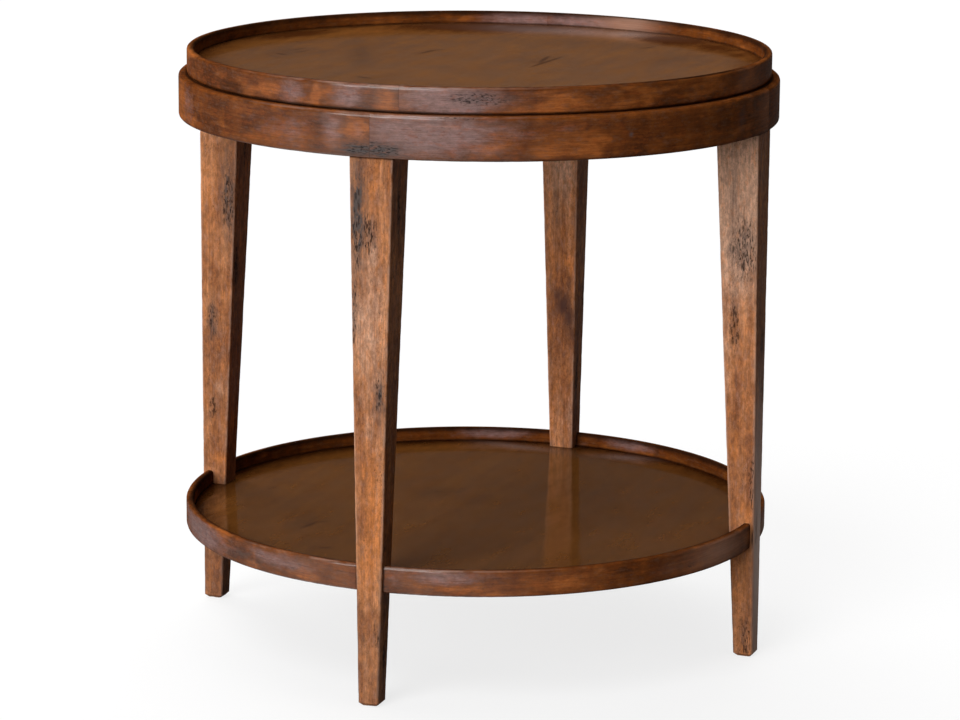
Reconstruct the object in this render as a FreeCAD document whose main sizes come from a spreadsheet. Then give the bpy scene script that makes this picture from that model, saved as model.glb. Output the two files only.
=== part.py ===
import FreeCAD, Part
import os
import Sketcher

# Round end table: a lipped tray top on a round apron, four tapered legs and a lipped shelf.
# The frame has +Z up and its origin on the floor under the middle of the top.
# One leg stands on each of +X (right), +Y (back), -X (left) and -Y (front).

# Driving dimensions in millimetres
# A name that ends in angle is in degrees, and one that ends in share is a fraction
SIZES = {
    # whole table
    "table_height": 610,
    "table_radius": 305,
    # apron, the round band under the tray
    "apron_height": 43.5,
    "apron_thickness": 20,
    "apron_edge_round": 3,
    # tray on the apron
    "tray_set_back": 8.5,
    "tray_rim_height": 26,
    "tray_rim_thickness": 8,
    "tray_rim_joint_angle": 5,
    "tray_panel_thickness": 13,
    # shelf between the legs
    "shelf_height": 115,
    "shelf_set_back": 4.5,
    "shelf_rim_height": 27,
    "shelf_rim_thickness": 8,
    "shelf_panel_thickness": 13,
    # tongue round each panel, in a groove round the inside of its rim
    "tongue_length": 4,
    "tongue_thickness": 4,
    "rim_edge_round": 2.4,
    # legs, measured under the apron and at the floor
    "leg_set_back": 3.5,
    "leg_splay": 3.5,
    "leg_top_width": 44.7,
    "leg_top_depth": 44.2,
    "leg_foot_width": 21.4,
    "leg_foot_depth": 20.6,
    "leg_tongue_shoulder": 3,
    "leg_arris": 1.6,
    "foot_chamfer": 3.2,
    "leg_dado_depth": 4,
    # glue blocks inside the apron
    "block_width": 64,
    "block_depth": 22,
    "block_height": 30,
    # dowels
    "apron_dowel_diameter": 8,
    "apron_dowel_length": 40,
    "apron_dowel_low_share": 0.28,
    "apron_dowel_high_share": 0.72,
    "shelf_dowel_diameter": 6,
    "shelf_dowel_length": 30,
    "shelf_dowel_spacing": 13,
    "dowel_chamfer": 1,
    # countersunk wood screws
    "screw_diameter": 4,
    "screw_head_diameter": 8,
    "screw_head_height": 2.4,
    "screw_tip_length": 5,
    "screw_slot_width": 1.1,
    "screw_slot_depth": 1.2,
    "leg_screw_spacing": 22,
    "leg_screw_bite": 12,
    "block_screw_spacing": 40,
    "block_screw_bite": 12,
    "top_screw_bite": 8,
    # room between glued or drilled pieces, and how far a cut runs past the piece
    "fit_gap": 0.1,
    "cut_overrun": 6,
}

# The sides of the table, by the angle of the leg there, and the quarters, by the angle where each begins
LEG_ANGLES = {"right": 0, "back": 90, "left": 180, "front": 270}
QUARTER_ANGLES = {"back_right": 0, "back_left": 90, "front_left": 180, "front_right": 270}
QUARTER_TURN = 90
HALF_TURN = 180
FULL_TURN = 360
MIDDLE_OF_QUARTER = 45
SIDES = len(LEG_ANGLES)

UP = FreeCAD.Vector(0, 0, 1)
ALONG_X = FreeCAD.Vector(1, 0, 0)
ALONG_Y = FreeCAD.Vector(0, 1, 0)
# a length this small is the same place
SAME_PLACE = 1e-4

doc = FreeCAD.newDocument("round_end_table")
sheet = doc.addObject("Spreadsheet::Sheet", "Sizes")
for row, (alias, value) in enumerate(SIZES.items(), start=1):
    sheet.set(f"A{row}", str(value))
    sheet.setAlias(f"A{row}", alias)
doc.recompute()


# Sizes worked out from the driving ones, written as expressions
def size(alias):
    return f"Sizes.{alias}"


def plus(*terms):
    return "(" + " + ".join(terms) + ")"


def minus(first, *others):
    return "(" + " - ".join((first,) + others) + ")"


def half(term):
    return f"({term} / 2)"


def share(fraction, term):
    return f"({fraction} * {term})"


GAP = size("fit_gap")
OVERRUN = size("cut_overrun")
TABLE_RADIUS = size("table_radius")

APRON_TOP = minus(size("table_height"), size("tray_rim_height"))
APRON_BOTTOM = minus(APRON_TOP, size("apron_height"))
APRON_INNER = minus(TABLE_RADIUS, size("apron_thickness"))
APRON_MIDDLE = minus(TABLE_RADIUS, half(size("apron_thickness")))
APRON_HALF_HEIGHT = minus(APRON_TOP, half(size("apron_height")))
COPE_RADIUS = minus(APRON_INNER, GAP)

TRAY_RIM_RADIUS = minus(TABLE_RADIUS, size("tray_set_back"))
TRAY_RIM_INNER = minus(TRAY_RIM_RADIUS, size("tray_rim_thickness"))
TRAY_PANEL_RADIUS = minus(TRAY_RIM_INNER, GAP)

SHELF_BOTTOM = size("shelf_height")
SHELF_TOP = plus(SHELF_BOTTOM, size("shelf_panel_thickness"))
SHELF_MIDDLE = plus(SHELF_BOTTOM, half(size("shelf_panel_thickness")))
SHELF_RIM_TOP = plus(SHELF_BOTTOM, size("shelf_rim_height"))
SHELF_RIM_RADIUS = minus(TABLE_RADIUS, size("shelf_set_back"))
SHELF_RIM_INNER = minus(SHELF_RIM_RADIUS, size("shelf_rim_thickness"))
SHELF_PANEL_RADIUS = minus(SHELF_RIM_INNER, GAP)

LEG_TOP_OUTER = minus(TABLE_RADIUS, size("leg_set_back"))
LEG_TOP_INNER = minus(LEG_TOP_OUTER, size("leg_top_depth"))
LEG_FOOT_OUTER = plus(LEG_TOP_OUTER, size("leg_splay"))
LEG_FOOT_INNER = minus(LEG_FOOT_OUTER, size("leg_foot_depth"))
LEG_HALF_TOP = half(size("leg_top_width"))
LEG_HALF_FOOT = half(size("leg_foot_width"))

BLOCK_INNER = minus(APRON_INNER, size("block_depth"))
BLOCK_MIDDLE = minus(APRON_INNER, half(size("block_depth")))
BLOCK_BOTTOM = minus(APRON_TOP, size("block_height"))
BLOCK_HALF_HEIGHT = minus(APRON_TOP, half(size("block_height")))

SCREW_RADIUS = half(size("screw_diameter"))
SCREW_HOLE_RADIUS = plus(SCREW_RADIUS, GAP)
SCREW_HEAD_RADIUS = half(size("screw_head_diameter"))


def along_leg(at_foot, under_apron, level):
    """A leg size at a level, on the straight taper from the floor to the apron's underside."""
    return f"({at_foot} + ({under_apron} - {at_foot}) * {level} / {APRON_BOTTOM})"


def leg_half_width(level):
    return along_leg(LEG_HALF_FOOT, LEG_HALF_TOP, level)


DADO_FLOOR = plus(along_leg(LEG_FOOT_INNER, LEG_TOP_INNER, SHELF_BOTTOM), size("leg_dado_depth"))
LEG_SCREW_LENGTH = plus(minus(APRON_INNER, LEG_TOP_INNER), size("leg_screw_bite"))
BLOCK_SCREW_LENGTH = plus(size("block_depth"), size("block_screw_bite"))
TOP_SCREW_LENGTH = plus(size("block_height"), size("top_screw_bite"))


def either_side(spacing):
    """The two places that lie half a spacing either side of a middle line."""
    reach = half(size(spacing))
    return ("left", reach), ("right", f"(-{reach})")


# Ways of making a piece
def bind(thing, **sizes):
    """Ties each named property of a feature to an expression."""
    for name, expression in sizes.items():
        thing.setExpression(name, expression)


def new_body(label, turn_angle=0):
    """A piece with its own label, turned about the table's axis to its place."""
    body = doc.addObject("PartDesign::Body", label)
    body.Label = label
    body.Placement = FreeCAD.Placement(FreeCAD.Vector(), FreeCAD.Rotation(UP, turn_angle))
    return body


def origin_part(body, role):
    return next(part for part in body.Origin.OriginFeatures if part.Role == role)


def outline(body, name, plane, *loops, offset=None):
    """A sketch of closed straight-sided loops; each corner is an (across, up) pair of expressions."""
    sketch = body.newObject("Sketcher::SketchObject", name)
    sketch.AttachmentSupport = [(origin_part(body, plane), "")]
    sketch.MapMode = "FlatFace"
    if offset:
        for axis, expression in zip("xyz", offset):
            sketch.setExpression(f"AttachmentOffset.Base.{axis}", expression)
    for corners in loops:
        add_loop(sketch, corners)
    return sketch


def add_loop(sketch, corners):
    """Straight sides through the corners, each corner held at its distances from the sketch's axes."""
    places = [[sheet.evalExpression(expression) for expression in corner] for corner in corners]
    points = [FreeCAD.Vector(across, up, 0) for across, up in places]
    first = sketch.GeometryCount
    for start, end in zip(points, points[1:] + points[:1]):
        sketch.addGeometry(Part.LineSegment(start, end), False)
    for index, corner in enumerate(corners):
        side = first + index
        before = first + (index - 1) % len(corners)
        sketch.addConstraint(Sketcher.Constraint("Coincident", before, 2, side, 1))
        for kind, axis, expression in zip(("DistanceX", "DistanceY"), (-2, -1), corner):
            value = sheet.evalExpression(expression)
            if value == 0:
                sketch.addConstraint(Sketcher.Constraint("PointOnObject", side, 1, axis))
            else:
                held = sketch.addConstraint(Sketcher.Constraint(kind, -1, 1, side, 1, value))
                sketch.setExpression(f"Constraints[{held}]", expression)


def turn(body, name, kind, sketch, angle, axis="V_Axis"):
    """A sketch turned about one of its own axes, to add or to cut."""
    feature = body.newObject(f"PartDesign::{kind}", name)
    feature.Profile = sketch
    feature.ReferenceAxis = (sketch, [axis])
    feature.Angle = angle
    doc.recompute()


def cut_through(body, name, sketch):
    """A sketch cut right through the piece on both sides of its plane."""
    before = body.Shape.Volume
    cut = body.newObject("PartDesign::Pocket", name)
    cut.Profile = sketch
    cut.Type = "ThroughAll"
    cut.SideType = "Symmetric"
    doc.recompute()
    if body.Shape.Volume >= before:
        raise RuntimeError(f"{body.Label}: {name} cuts nothing")


def place(feature, start, towards):
    """Puts a feature's own axis at a start point, three expressions, and points it along a direction."""
    feature.Placement = FreeCAD.Placement(FreeCAD.Vector(), FreeCAD.Rotation(UP, towards))
    for axis, expression in zip("xyz", start):
        feature.setExpression(f"Placement.Base.{axis}", expression)


def drill(body, name, radius, depth, start, towards):
    hole = body.newObject("PartDesign::SubtractiveCylinder", name)
    bind(hole, Radius=radius, Height=depth)
    place(hole, start, towards)
    return hole


def countersink(body, name, start, towards):
    """A conical seat for a screw's head, with its wide end at the start point."""
    seat = body.newObject("PartDesign::SubtractiveCone", name)
    bind(
        seat,
        Radius1=plus(SCREW_HEAD_RADIUS, GAP),
        Radius2=SCREW_HOLE_RADIUS,
        Height=size("screw_head_height"),
    )
    place(seat, start, towards)


def repeat_round(body, name, feature=None):
    """One feature, or the whole piece where none is named, repeated at every side of the table."""
    doc.recompute()
    pattern = body.newObject("PartDesign::PolarPattern", name)
    if feature:
        pattern.Originals = [feature]
    else:
        pattern.TransformMode = "Whole shape"
    pattern.Axis = (origin_part(body, "Z_Axis"), [""])
    pattern.Angle = FULL_TURN
    pattern.Occurrences = SIDES
    body.Tip = pattern
    doc.recompute()


def round_edges(body, name, radius, chosen):
    """A fillet on every edge of the piece that the chosen test picks."""
    base = body.Tip
    edges = [f"Edge{number}" for number, edge in enumerate(base.Shape.Edges, start=1) if chosen(edge)]
    feature = body.newObject("PartDesign::Fillet", name)
    feature.Base = (base, edges)
    bind(feature, Radius=radius)
    doc.recompute()


def at_level(edge, *levels):
    """Whether an edge is an arc round the table that lies at one of the levels."""
    heights = [vertex.Point.z for vertex in edge.Vertexes]
    flat = max(heights) - min(heights) < SAME_PLACE
    wanted = [sheet.evalExpression(level) for level in levels]
    return flat and is_round(edge) and any(abs(heights[0] - level) < SAME_PLACE for level in wanted)


def is_round(edge):
    return isinstance(edge.Curve, Part.Circle)


def on_radius(edge, radius):
    return abs(edge.Curve.Radius - sheet.evalExpression(radius)) < SAME_PLACE


def tongue_levels(bottom, thickness, room):
    """The lower and upper faces of a tongue, or of its groove, at half the panel's thickness."""
    middle = plus(bottom, half(thickness))
    reach = plus(half(size("tongue_thickness")), room)
    return minus(middle, reach), plus(middle, reach)


def panel_disc(body, radius, bottom, thickness):
    """A round panel with a tongue round its edge."""
    low, high = tongue_levels(bottom, thickness, "0")
    tip = plus(radius, size("tongue_length"))
    top = plus(bottom, thickness)
    corners = [
        ("0", bottom),
        (radius, bottom),
        (radius, low),
        (tip, low),
        (tip, high),
        (radius, high),
        (radius, top),
        ("0", top),
    ]
    section = outline(body, "panel_section", "XZ_Plane", corners)
    turn(body, "panel", "Revolution", section, FULL_TURN)


def rim_arc(body, radius, thickness, bottom, height, panel_thickness, angle):
    """A standing rim, grooved for the panel's tongue and rounded along its top, from +X round by an angle."""
    inner = minus(radius, thickness)
    top = plus(bottom, height)
    low, high = tongue_levels(bottom, panel_thickness, GAP)
    groove = plus(inner, size("tongue_length"), GAP)
    corners = [
        (inner, bottom),
        (radius, bottom),
        (radius, top),
        (inner, top),
        (inner, high),
        (groove, high),
        (groove, low),
        (inner, low),
    ]
    section = outline(body, "rim_section", "XZ_Plane", corners)
    turn(body, "rim", "Revolution", section, angle)
    round_edges(body, "rim_top_rounds", size("rim_edge_round"), lambda edge: at_level(edge, top))


def cope(body, bottom):
    """Trims what reaches past the apron's inner face, from a level up."""
    top = plus(APRON_TOP, OVERRUN)
    outside = plus(TABLE_RADIUS, OVERRUN)
    corners = [(COPE_RADIUS, bottom), (outside, bottom), (outside, top), (COPE_RADIUS, top)]
    before = body.Shape.Volume
    turn(body, "cope", "Groove", outline(body, "cope_section", "XZ_Plane", corners), FULL_TURN)
    if body.Shape.Volume >= before:
        raise RuntimeError(f"{body.Label}: the cope cuts nothing")


# Tray top: one panel in a hoop of two halves
def make_top_panel():
    body = new_body("top_panel", MIDDLE_OF_QUARTER)
    panel_disc(body, TRAY_PANEL_RADIUS, APRON_TOP, size("tray_panel_thickness"))
    start = (BLOCK_MIDDLE, "0", minus(APRON_TOP, OVERRUN))
    depth = plus(OVERRUN, size("top_screw_bite"), GAP)
    pilot = drill(body, "top_screw_pilot", SCREW_HOLE_RADIUS, depth, start, UP)
    repeat_round(body, "top_screw_pilots", pilot)
    return body


def make_tray_rims():
    joint = sheet.get("tray_rim_joint_angle") + LEG_ANGLES["front"]
    halves = []
    for label, start in (("tray_rim_right", joint), ("tray_rim_left", joint + HALF_TURN)):
        body = new_body(label, start)
        rim_arc(
            body,
            TRAY_RIM_RADIUS,
            size("tray_rim_thickness"),
            APRON_TOP,
            size("tray_rim_height"),
            size("tray_panel_thickness"),
            HALF_TURN,
        )
        halves.append(body)
    return halves


# Apron: four quarters that butt over the middles of the legs
def make_apron_quarter(quarter):
    body = new_body(f"apron_{quarter}", QUARTER_ANGLES[quarter])
    corners = [
        (APRON_INNER, APRON_BOTTOM),
        (TABLE_RADIUS, APRON_BOTTOM),
        (TABLE_RADIUS, APRON_TOP),
        (APRON_INNER, APRON_TOP),
    ]
    section = outline(body, "apron_section", "XZ_Plane", corners)
    turn(body, "apron", "Revolution", section, QUARTER_TURN)
    round_edges(
        body,
        "apron_edge_rounds",
        size("apron_edge_round"),
        lambda edge: at_level(edge, APRON_BOTTOM, APRON_TOP) and on_radius(edge, TABLE_RADIUS),
    )
    drill_apron_ends(body)
    drill_apron_pilots(body)
    return body


def apron_dowel_levels():
    for name in ("low", "high"):
        height = share(size(f"apron_dowel_{name}_share"), size("apron_height"))
        yield name, plus(APRON_BOTTOM, height)


def drill_apron_ends(body):
    """Dowel holes in the two ends, which lie on the XZ and YZ planes."""
    radius = plus(half(size("apron_dowel_diameter")), GAP)
    depth = plus(OVERRUN, half(size("apron_dowel_length")), GAP)
    outside = f"-{OVERRUN}"
    for name, level in apron_dowel_levels():
        drill(body, f"{name}_dowel_start", radius, depth, (APRON_MIDDLE, outside, level), ALONG_Y)
        drill(body, f"{name}_dowel_end", radius, depth, (outside, APRON_MIDDLE, level), ALONG_X)


def drill_apron_pilots(body):
    """Screw holes in the inner face: one from the leg at each end and two from the glue block."""
    beside = half(size("leg_screw_spacing"))
    inside = LEG_TOP_INNER
    depth = plus(LEG_SCREW_LENGTH, GAP)
    level = APRON_HALF_HEIGHT
    drill(body, "leg_pilot_start", SCREW_HOLE_RADIUS, depth, (inside, beside, level), ALONG_X)
    drill(body, "leg_pilot_end", SCREW_HOLE_RADIUS, depth, (beside, inside, level), ALONG_Y)
    diagonal = FreeCAD.Rotation(UP, MIDDLE_OF_QUARTER).multVec(ALONG_X)
    depth = plus(BLOCK_SCREW_LENGTH, GAP)
    for name, aside in either_side("block_screw_spacing"):
        start = (
            f"(({BLOCK_INNER} - {aside}) * cos({MIDDLE_OF_QUARTER}))",
            f"(({BLOCK_INNER} + {aside}) * sin({MIDDLE_OF_QUARTER}))",
            BLOCK_HALF_HEIGHT,
        )
        drill(body, f"block_pilot_{name}", SCREW_HOLE_RADIUS, depth, start, diagonal)


# Glue blocks: one in the middle of each apron quarter, coped to it, with its top against the top panel
def make_glue_block(quarter):
    body = new_body(f"glue_block_{quarter}", QUARTER_ANGLES[quarter] + MIDDLE_OF_QUARTER)
    blank = body.newObject("PartDesign::AdditiveBox", "block_blank")
    bind(
        blank,
        Length=size("block_depth"),
        Width=size("block_width"),
        Height=size("block_height"),
    )
    place(blank, (BLOCK_INNER, f"-{half(size('block_width'))}", BLOCK_BOTTOM), UP)
    doc.recompute()
    cope(body, minus(BLOCK_BOTTOM, OVERRUN))
    for name, beside in either_side("block_screw_spacing"):
        start = (BLOCK_INNER, beside, BLOCK_HALF_HEIGHT)
        drill(body, f"{name}_screw_hole", SCREW_HOLE_RADIUS, BLOCK_SCREW_LENGTH, start, ALONG_X)
        countersink(body, f"{name}_screw_seat", start, ALONG_X)
    start = (BLOCK_MIDDLE, "0", BLOCK_BOTTOM)
    drill(body, "top_screw_hole", SCREW_HOLE_RADIUS, TOP_SCREW_LENGTH, start, UP)
    countersink(body, "top_screw_seat", start, UP)
    doc.recompute()
    return body


# Legs: tapered from the apron to the floor, with a shoulder under the apron and a tongue inside it
def make_leg(side):
    body = new_body(f"leg_{side}", LEG_ANGLES[side])
    blank = body.newObject("PartDesign::AdditiveLoft", "leg_blank")
    blank.Profile = leg_section(body, "shoulder_section", APRON_BOTTOM)
    blank.Sections = [
        leg_section(body, "ankle_section", size("foot_chamfer")),
        leg_section(body, "floor_section", "0", size("foot_chamfer")),
    ]
    blank.Ruled = True
    doc.recompute()
    add_tongue(body)
    cut_dado(body)
    drill_leg(body)
    doc.recompute()
    return body


def leg_section(body, name, level, inset="0"):
    """The leg's square section at a level, with its arrises eased, drawn in from the taper by an inset."""
    inner = plus(along_leg(LEG_FOOT_INNER, LEG_TOP_INNER, level), inset)
    outer = minus(along_leg(LEG_FOOT_OUTER, LEG_TOP_OUTER, level), inset)
    side = minus(leg_half_width(level), inset)
    eased_inner = plus(inner, size("leg_arris"))
    eased_outer = minus(outer, size("leg_arris"))
    eased_side = minus(side, size("leg_arris"))
    corners = [
        (eased_inner, f"-{side}"),
        (eased_outer, f"-{side}"),
        (outer, f"-{eased_side}"),
        (outer, eased_side),
        (eased_outer, side),
        (eased_inner, side),
        (inner, eased_side),
        (inner, f"-{eased_side}"),
    ]
    return outline(body, name, "XY_Plane", corners, offset=("0", "0", level))


def add_tongue(body):
    """The part of the leg that rises inside the apron, narrower than the leg by a shoulder on each side."""
    tongue = body.newObject("PartDesign::AdditiveBox", "leg_tongue")
    half_width = minus(LEG_HALF_TOP, size("leg_tongue_shoulder"))
    bind(
        tongue,
        Length=minus(APRON_INNER, LEG_TOP_INNER),
        Width=plus(half_width, half_width),
        Height=size("apron_height"),
    )
    place(tongue, (LEG_TOP_INNER, f"-{half_width}", APRON_BOTTOM), UP)
    doc.recompute()
    cope(body, APRON_BOTTOM)


def cut_dado(body):
    """A slot across the inner face that seats the edge of the shelf panel."""
    top = plus(SHELF_TOP, GAP)
    inside = minus(LEG_TOP_INNER, OVERRUN)
    corners = [(inside, SHELF_BOTTOM), (DADO_FLOOR, SHELF_BOTTOM), (DADO_FLOOR, top), (inside, top)]
    cut_through(body, "shelf_dado", outline(body, "dado_section", "XZ_Plane", corners))


def drill_leg(body):
    dowel_radius = plus(half(size("shelf_dowel_diameter")), GAP)
    dowel_depth = plus(OVERRUN, half(size("shelf_dowel_length")), GAP)
    for name, beside in either_side("shelf_dowel_spacing"):
        start = (minus(DADO_FLOOR, OVERRUN), beside, SHELF_MIDDLE)
        drill(body, f"{name}_dowel_hole", dowel_radius, dowel_depth, start, ALONG_X)
    for name, beside in either_side("leg_screw_spacing"):
        start = (LEG_TOP_INNER, beside, APRON_HALF_HEIGHT)
        drill(body, f"{name}_screw_hole", SCREW_HOLE_RADIUS, LEG_SCREW_LENGTH, start, ALONG_X)
        countersink(body, f"{name}_screw_seat", start, ALONG_X)


# Shelf: one panel let into the legs, with four rim arcs between them
def make_shelf_panel():
    body = new_body("shelf_panel")
    panel_disc(body, SHELF_PANEL_RADIUS, SHELF_BOTTOM, size("shelf_panel_thickness"))
    half_width = plus(leg_half_width(SHELF_TOP), GAP)
    inside = minus(DADO_FLOOR, GAP)
    notch = body.newObject("PartDesign::SubtractiveBox", "leg_notch")
    bind(
        notch,
        Length=minus(plus(TABLE_RADIUS, OVERRUN), inside),
        Width=plus(half_width, half_width),
        Height=plus(size("shelf_panel_thickness"), OVERRUN, OVERRUN),
    )
    place(notch, (inside, f"-{half_width}", minus(SHELF_BOTTOM, OVERRUN)), UP)
    repeat_round(body, "leg_notches", notch)
    radius = plus(half(size("shelf_dowel_diameter")), GAP)
    length = half(size("shelf_dowel_length"))
    for name, beside in either_side("shelf_dowel_spacing"):
        start = (minus(DADO_FLOOR, length, GAP), beside, SHELF_MIDDLE)
        hole = drill(body, f"{name}_dowel_hole", radius, plus(length, OVERRUN), start, ALONG_X)
        repeat_round(body, f"{name}_dowel_holes", hole)
    return body


def make_shelf_rim(quarter):
    body = new_body(f"shelf_rim_{quarter}", QUARTER_ANGLES[quarter])
    rim_arc(
        body,
        SHELF_RIM_RADIUS,
        size("shelf_rim_thickness"),
        SHELF_BOTTOM,
        size("shelf_rim_height"),
        size("shelf_panel_thickness"),
        QUARTER_TURN,
    )
    low = minus(SHELF_BOTTOM, OVERRUN)
    high = plus(SHELF_RIM_TOP, OVERRUN)
    outside = f"-{OVERRUN}"
    corners = [
        (outside, low),
        (plus(leg_half_width(low), GAP), low),
        (plus(leg_half_width(high), GAP), high),
        (outside, high),
    ]
    for name, plane in (("start_scribe", "YZ_Plane"), ("end_scribe", "XZ_Plane")):
        cut_through(body, name, outline(body, f"{name}_section", plane, corners))
    return body


# Fasteners: identical ones share a node, as separate solids at every side of the table
def add_dowel(body, name, diameter, length, middle, axis):
    """A plain dowel with chamfered ends, lying level about the sketch axis through its middle."""
    radius = half(diameter)
    reach = half(length)
    flat = minus(radius, size("dowel_chamfer"))
    shoulder = minus(reach, size("dowel_chamfer"))
    profile = [
        ("0", f"-{reach}"),
        (flat, f"-{reach}"),
        (radius, f"-{shoulder}"),
        (radius, shoulder),
        (flat, reach),
        ("0", reach),
    ]
    if axis == "H_Axis":
        profile = [(along, out) for out, along in profile]
    section = outline(body, f"{name}_section", "XY_Plane", profile, offset=middle)
    turn(body, name, "Revolution", section, FULL_TURN, axis)


def make_apron_joint_dowels():
    body = new_body("apron_joint_dowels")
    for name, level in apron_dowel_levels():
        middle = (APRON_MIDDLE, "0", level)
        diameter = size("apron_dowel_diameter")
        add_dowel(body, f"{name}_dowel", diameter, size("apron_dowel_length"), middle, "V_Axis")
    repeat_round(body, "dowels")
    return body


def make_shelf_dowels():
    body = new_body("shelf_dowels")
    for name, beside in either_side("shelf_dowel_spacing"):
        middle = (DADO_FLOOR, beside, SHELF_MIDDLE)
        diameter = size("shelf_dowel_diameter")
        add_dowel(body, f"{name}_dowel", diameter, size("shelf_dowel_length"), middle, "H_Axis")
    repeat_round(body, "dowels")
    return body


def add_screw(body, name, length, head, towards):
    """A slotted countersunk screw with the middle of its head at a place, three expressions."""
    profile = [
        ("0", "0"),
        ("0", SCREW_HEAD_RADIUS),
        (size("screw_head_height"), SCREW_RADIUS),
        (minus(length, size("screw_tip_length")), SCREW_RADIUS),
        (length, "0"),
    ]
    across, beside, level = head
    half_slot = half(size("screw_slot_width"))
    slot_side = minus(beside, SCREW_HEAD_RADIUS)
    if towards == ALONG_X:
        axis = "H_Axis"
        slot_corner = (across, slot_side, plus(level, half_slot))
    else:
        axis = "V_Axis"
        profile = [(out, along) for along, out in profile]
        slot_corner = (minus(across, half_slot), slot_side, level)
    section = outline(body, f"{name}_section", "XZ_Plane", profile, offset=(across, level, f"-{beside}"))
    turn(body, name, "Revolution", section, FULL_TURN, axis)
    slot = body.newObject("PartDesign::SubtractiveBox", f"{name}_slot")
    bind(
        slot,
        Length=size("screw_slot_width"),
        Width=size("screw_head_diameter"),
        Height=size("screw_slot_depth"),
    )
    place(slot, slot_corner, towards)


def make_leg_screws():
    body = new_body("leg_screws")
    for name, beside in either_side("leg_screw_spacing"):
        head = (LEG_TOP_INNER, beside, APRON_HALF_HEIGHT)
        add_screw(body, f"{name}_screw", LEG_SCREW_LENGTH, head, ALONG_X)
    repeat_round(body, "screws")
    return body


def make_block_screws():
    body = new_body("block_screws", MIDDLE_OF_QUARTER)
    for name, beside in either_side("block_screw_spacing"):
        head = (BLOCK_INNER, beside, BLOCK_HALF_HEIGHT)
        add_screw(body, f"{name}_screw", BLOCK_SCREW_LENGTH, head, ALONG_X)
    repeat_round(body, "screws")
    return body


def make_top_screws():
    body = new_body("top_screws", MIDDLE_OF_QUARTER)
    add_screw(body, "screw", TOP_SCREW_LENGTH, (BLOCK_MIDDLE, "0", BLOCK_BOTTOM), UP)
    repeat_round(body, "screws")
    return body


pieces = [make_top_panel(), *make_tray_rims()]
pieces += [make_apron_quarter(quarter) for quarter in QUARTER_ANGLES]
pieces += [make_glue_block(quarter) for quarter in QUARTER_ANGLES]
pieces += [make_leg(side) for side in LEG_ANGLES]
pieces += [make_shelf_panel()]
pieces += [make_shelf_rim(quarter) for quarter in QUARTER_ANGLES]
pieces += [make_apron_joint_dowels(), make_shelf_dowels()]
pieces += [make_leg_screws(), make_block_screws(), make_top_screws()]
doc.recompute()

failed = [thing.Label for thing in doc.Objects if {"Invalid", "Error"} & set(thing.State)]
failed += [piece.Label for piece in pieces if piece.Shape.isNull() or not piece.Shape.isValid()]
if failed:
    raise RuntimeError(f"pieces that did not build: {sorted(set(failed))}")

os.makedirs("parts", exist_ok=True)
for piece in pieces:
    piece.Shape.exportStep(os.path.join("parts", f"{piece.Label}.step"))
    print(f"{piece.Label}: {len(piece.Shape.Solids)} solids, {piece.Shape.Volume:.0f} mm3")
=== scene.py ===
"""Looks of a round end table in distressed stained wood.

A tray top stands in an apron on four tapered legs, and a rimmed shelf lies low between them.
"""

import math

import bmesh
import bpy
import numpy as np
from mathutils import Matrix, Vector
from mathutils.geometry import delaunay_2d_cdt


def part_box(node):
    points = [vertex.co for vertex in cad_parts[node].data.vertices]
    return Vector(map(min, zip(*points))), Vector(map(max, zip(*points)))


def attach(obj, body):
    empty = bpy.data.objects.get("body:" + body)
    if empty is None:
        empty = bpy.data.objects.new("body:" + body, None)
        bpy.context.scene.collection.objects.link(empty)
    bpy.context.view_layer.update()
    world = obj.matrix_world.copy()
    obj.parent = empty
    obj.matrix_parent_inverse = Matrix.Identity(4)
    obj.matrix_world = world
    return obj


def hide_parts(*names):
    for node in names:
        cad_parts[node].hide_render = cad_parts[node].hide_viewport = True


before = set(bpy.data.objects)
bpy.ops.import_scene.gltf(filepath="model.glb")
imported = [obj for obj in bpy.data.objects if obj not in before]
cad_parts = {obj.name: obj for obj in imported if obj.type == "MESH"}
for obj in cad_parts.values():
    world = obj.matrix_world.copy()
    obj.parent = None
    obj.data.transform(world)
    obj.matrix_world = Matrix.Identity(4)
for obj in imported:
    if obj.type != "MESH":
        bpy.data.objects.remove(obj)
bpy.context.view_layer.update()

MM = 0.001

# Plan of the table: quarters and legs by their direction angle, from +X towards +Y
QUARTER_STARTS = {"back_right": 0, "back_left": 90, "front_left": 180, "front_right": 270}
LEG_ANGLES = {"leg_right": 0, "leg_back": 90, "leg_left": 180, "leg_front": 270}
TRAY_STARTS = {"tray_rim_left": 95, "tray_rim_right": 275}
FRONT_ANGLE = 270
QUARTER_TURN = 90
HALF_TURN = 180

# Mesh steps and small shaping sizes
STRIP_STEP = 1.5 * MM
STRIP_EDGE_STEPS = 6
BOARD_STEP = 2.0 * MM
BOARD_ROOM = 0.4 * BOARD_STEP
BOARD_ROW_STRETCH = 1.16
BOARD_EDGE_RINGS = [inset * MM for inset in (1.5, 3, 5, 8, 11, 14)]
LEG_STEP = 1.5 * MM
LEG_SIDE_STEPS = 26
LEG_CORNER_STEPS = 5
APRON_ROUND = 3.2 * MM
RIM_ROUND = 2.6 * MM
LEG_ARRIS = 2.2 * MM
FOOT_CHAMFER = 3.2 * MM
FOOT_STEPS = 4
TONGUE_STEP = 4 * MM
TONGUE_SHOULDER = 3 * MM
TONGUE_RECESS = 0.35 * MM
TONGUE_CLEARANCE = 0.8 * MM
BOARD_LET_IN = 1.0 * MM
NOTCH_OVERLAP = 0.3 * MM
LEVEL_TOLERANCE = 0.2 * MM
MERGE_DISTANCE = 1e-7
TRIANGLES_INSIDE = 1
SHARP_ANGLE = math.radians(40)

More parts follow.
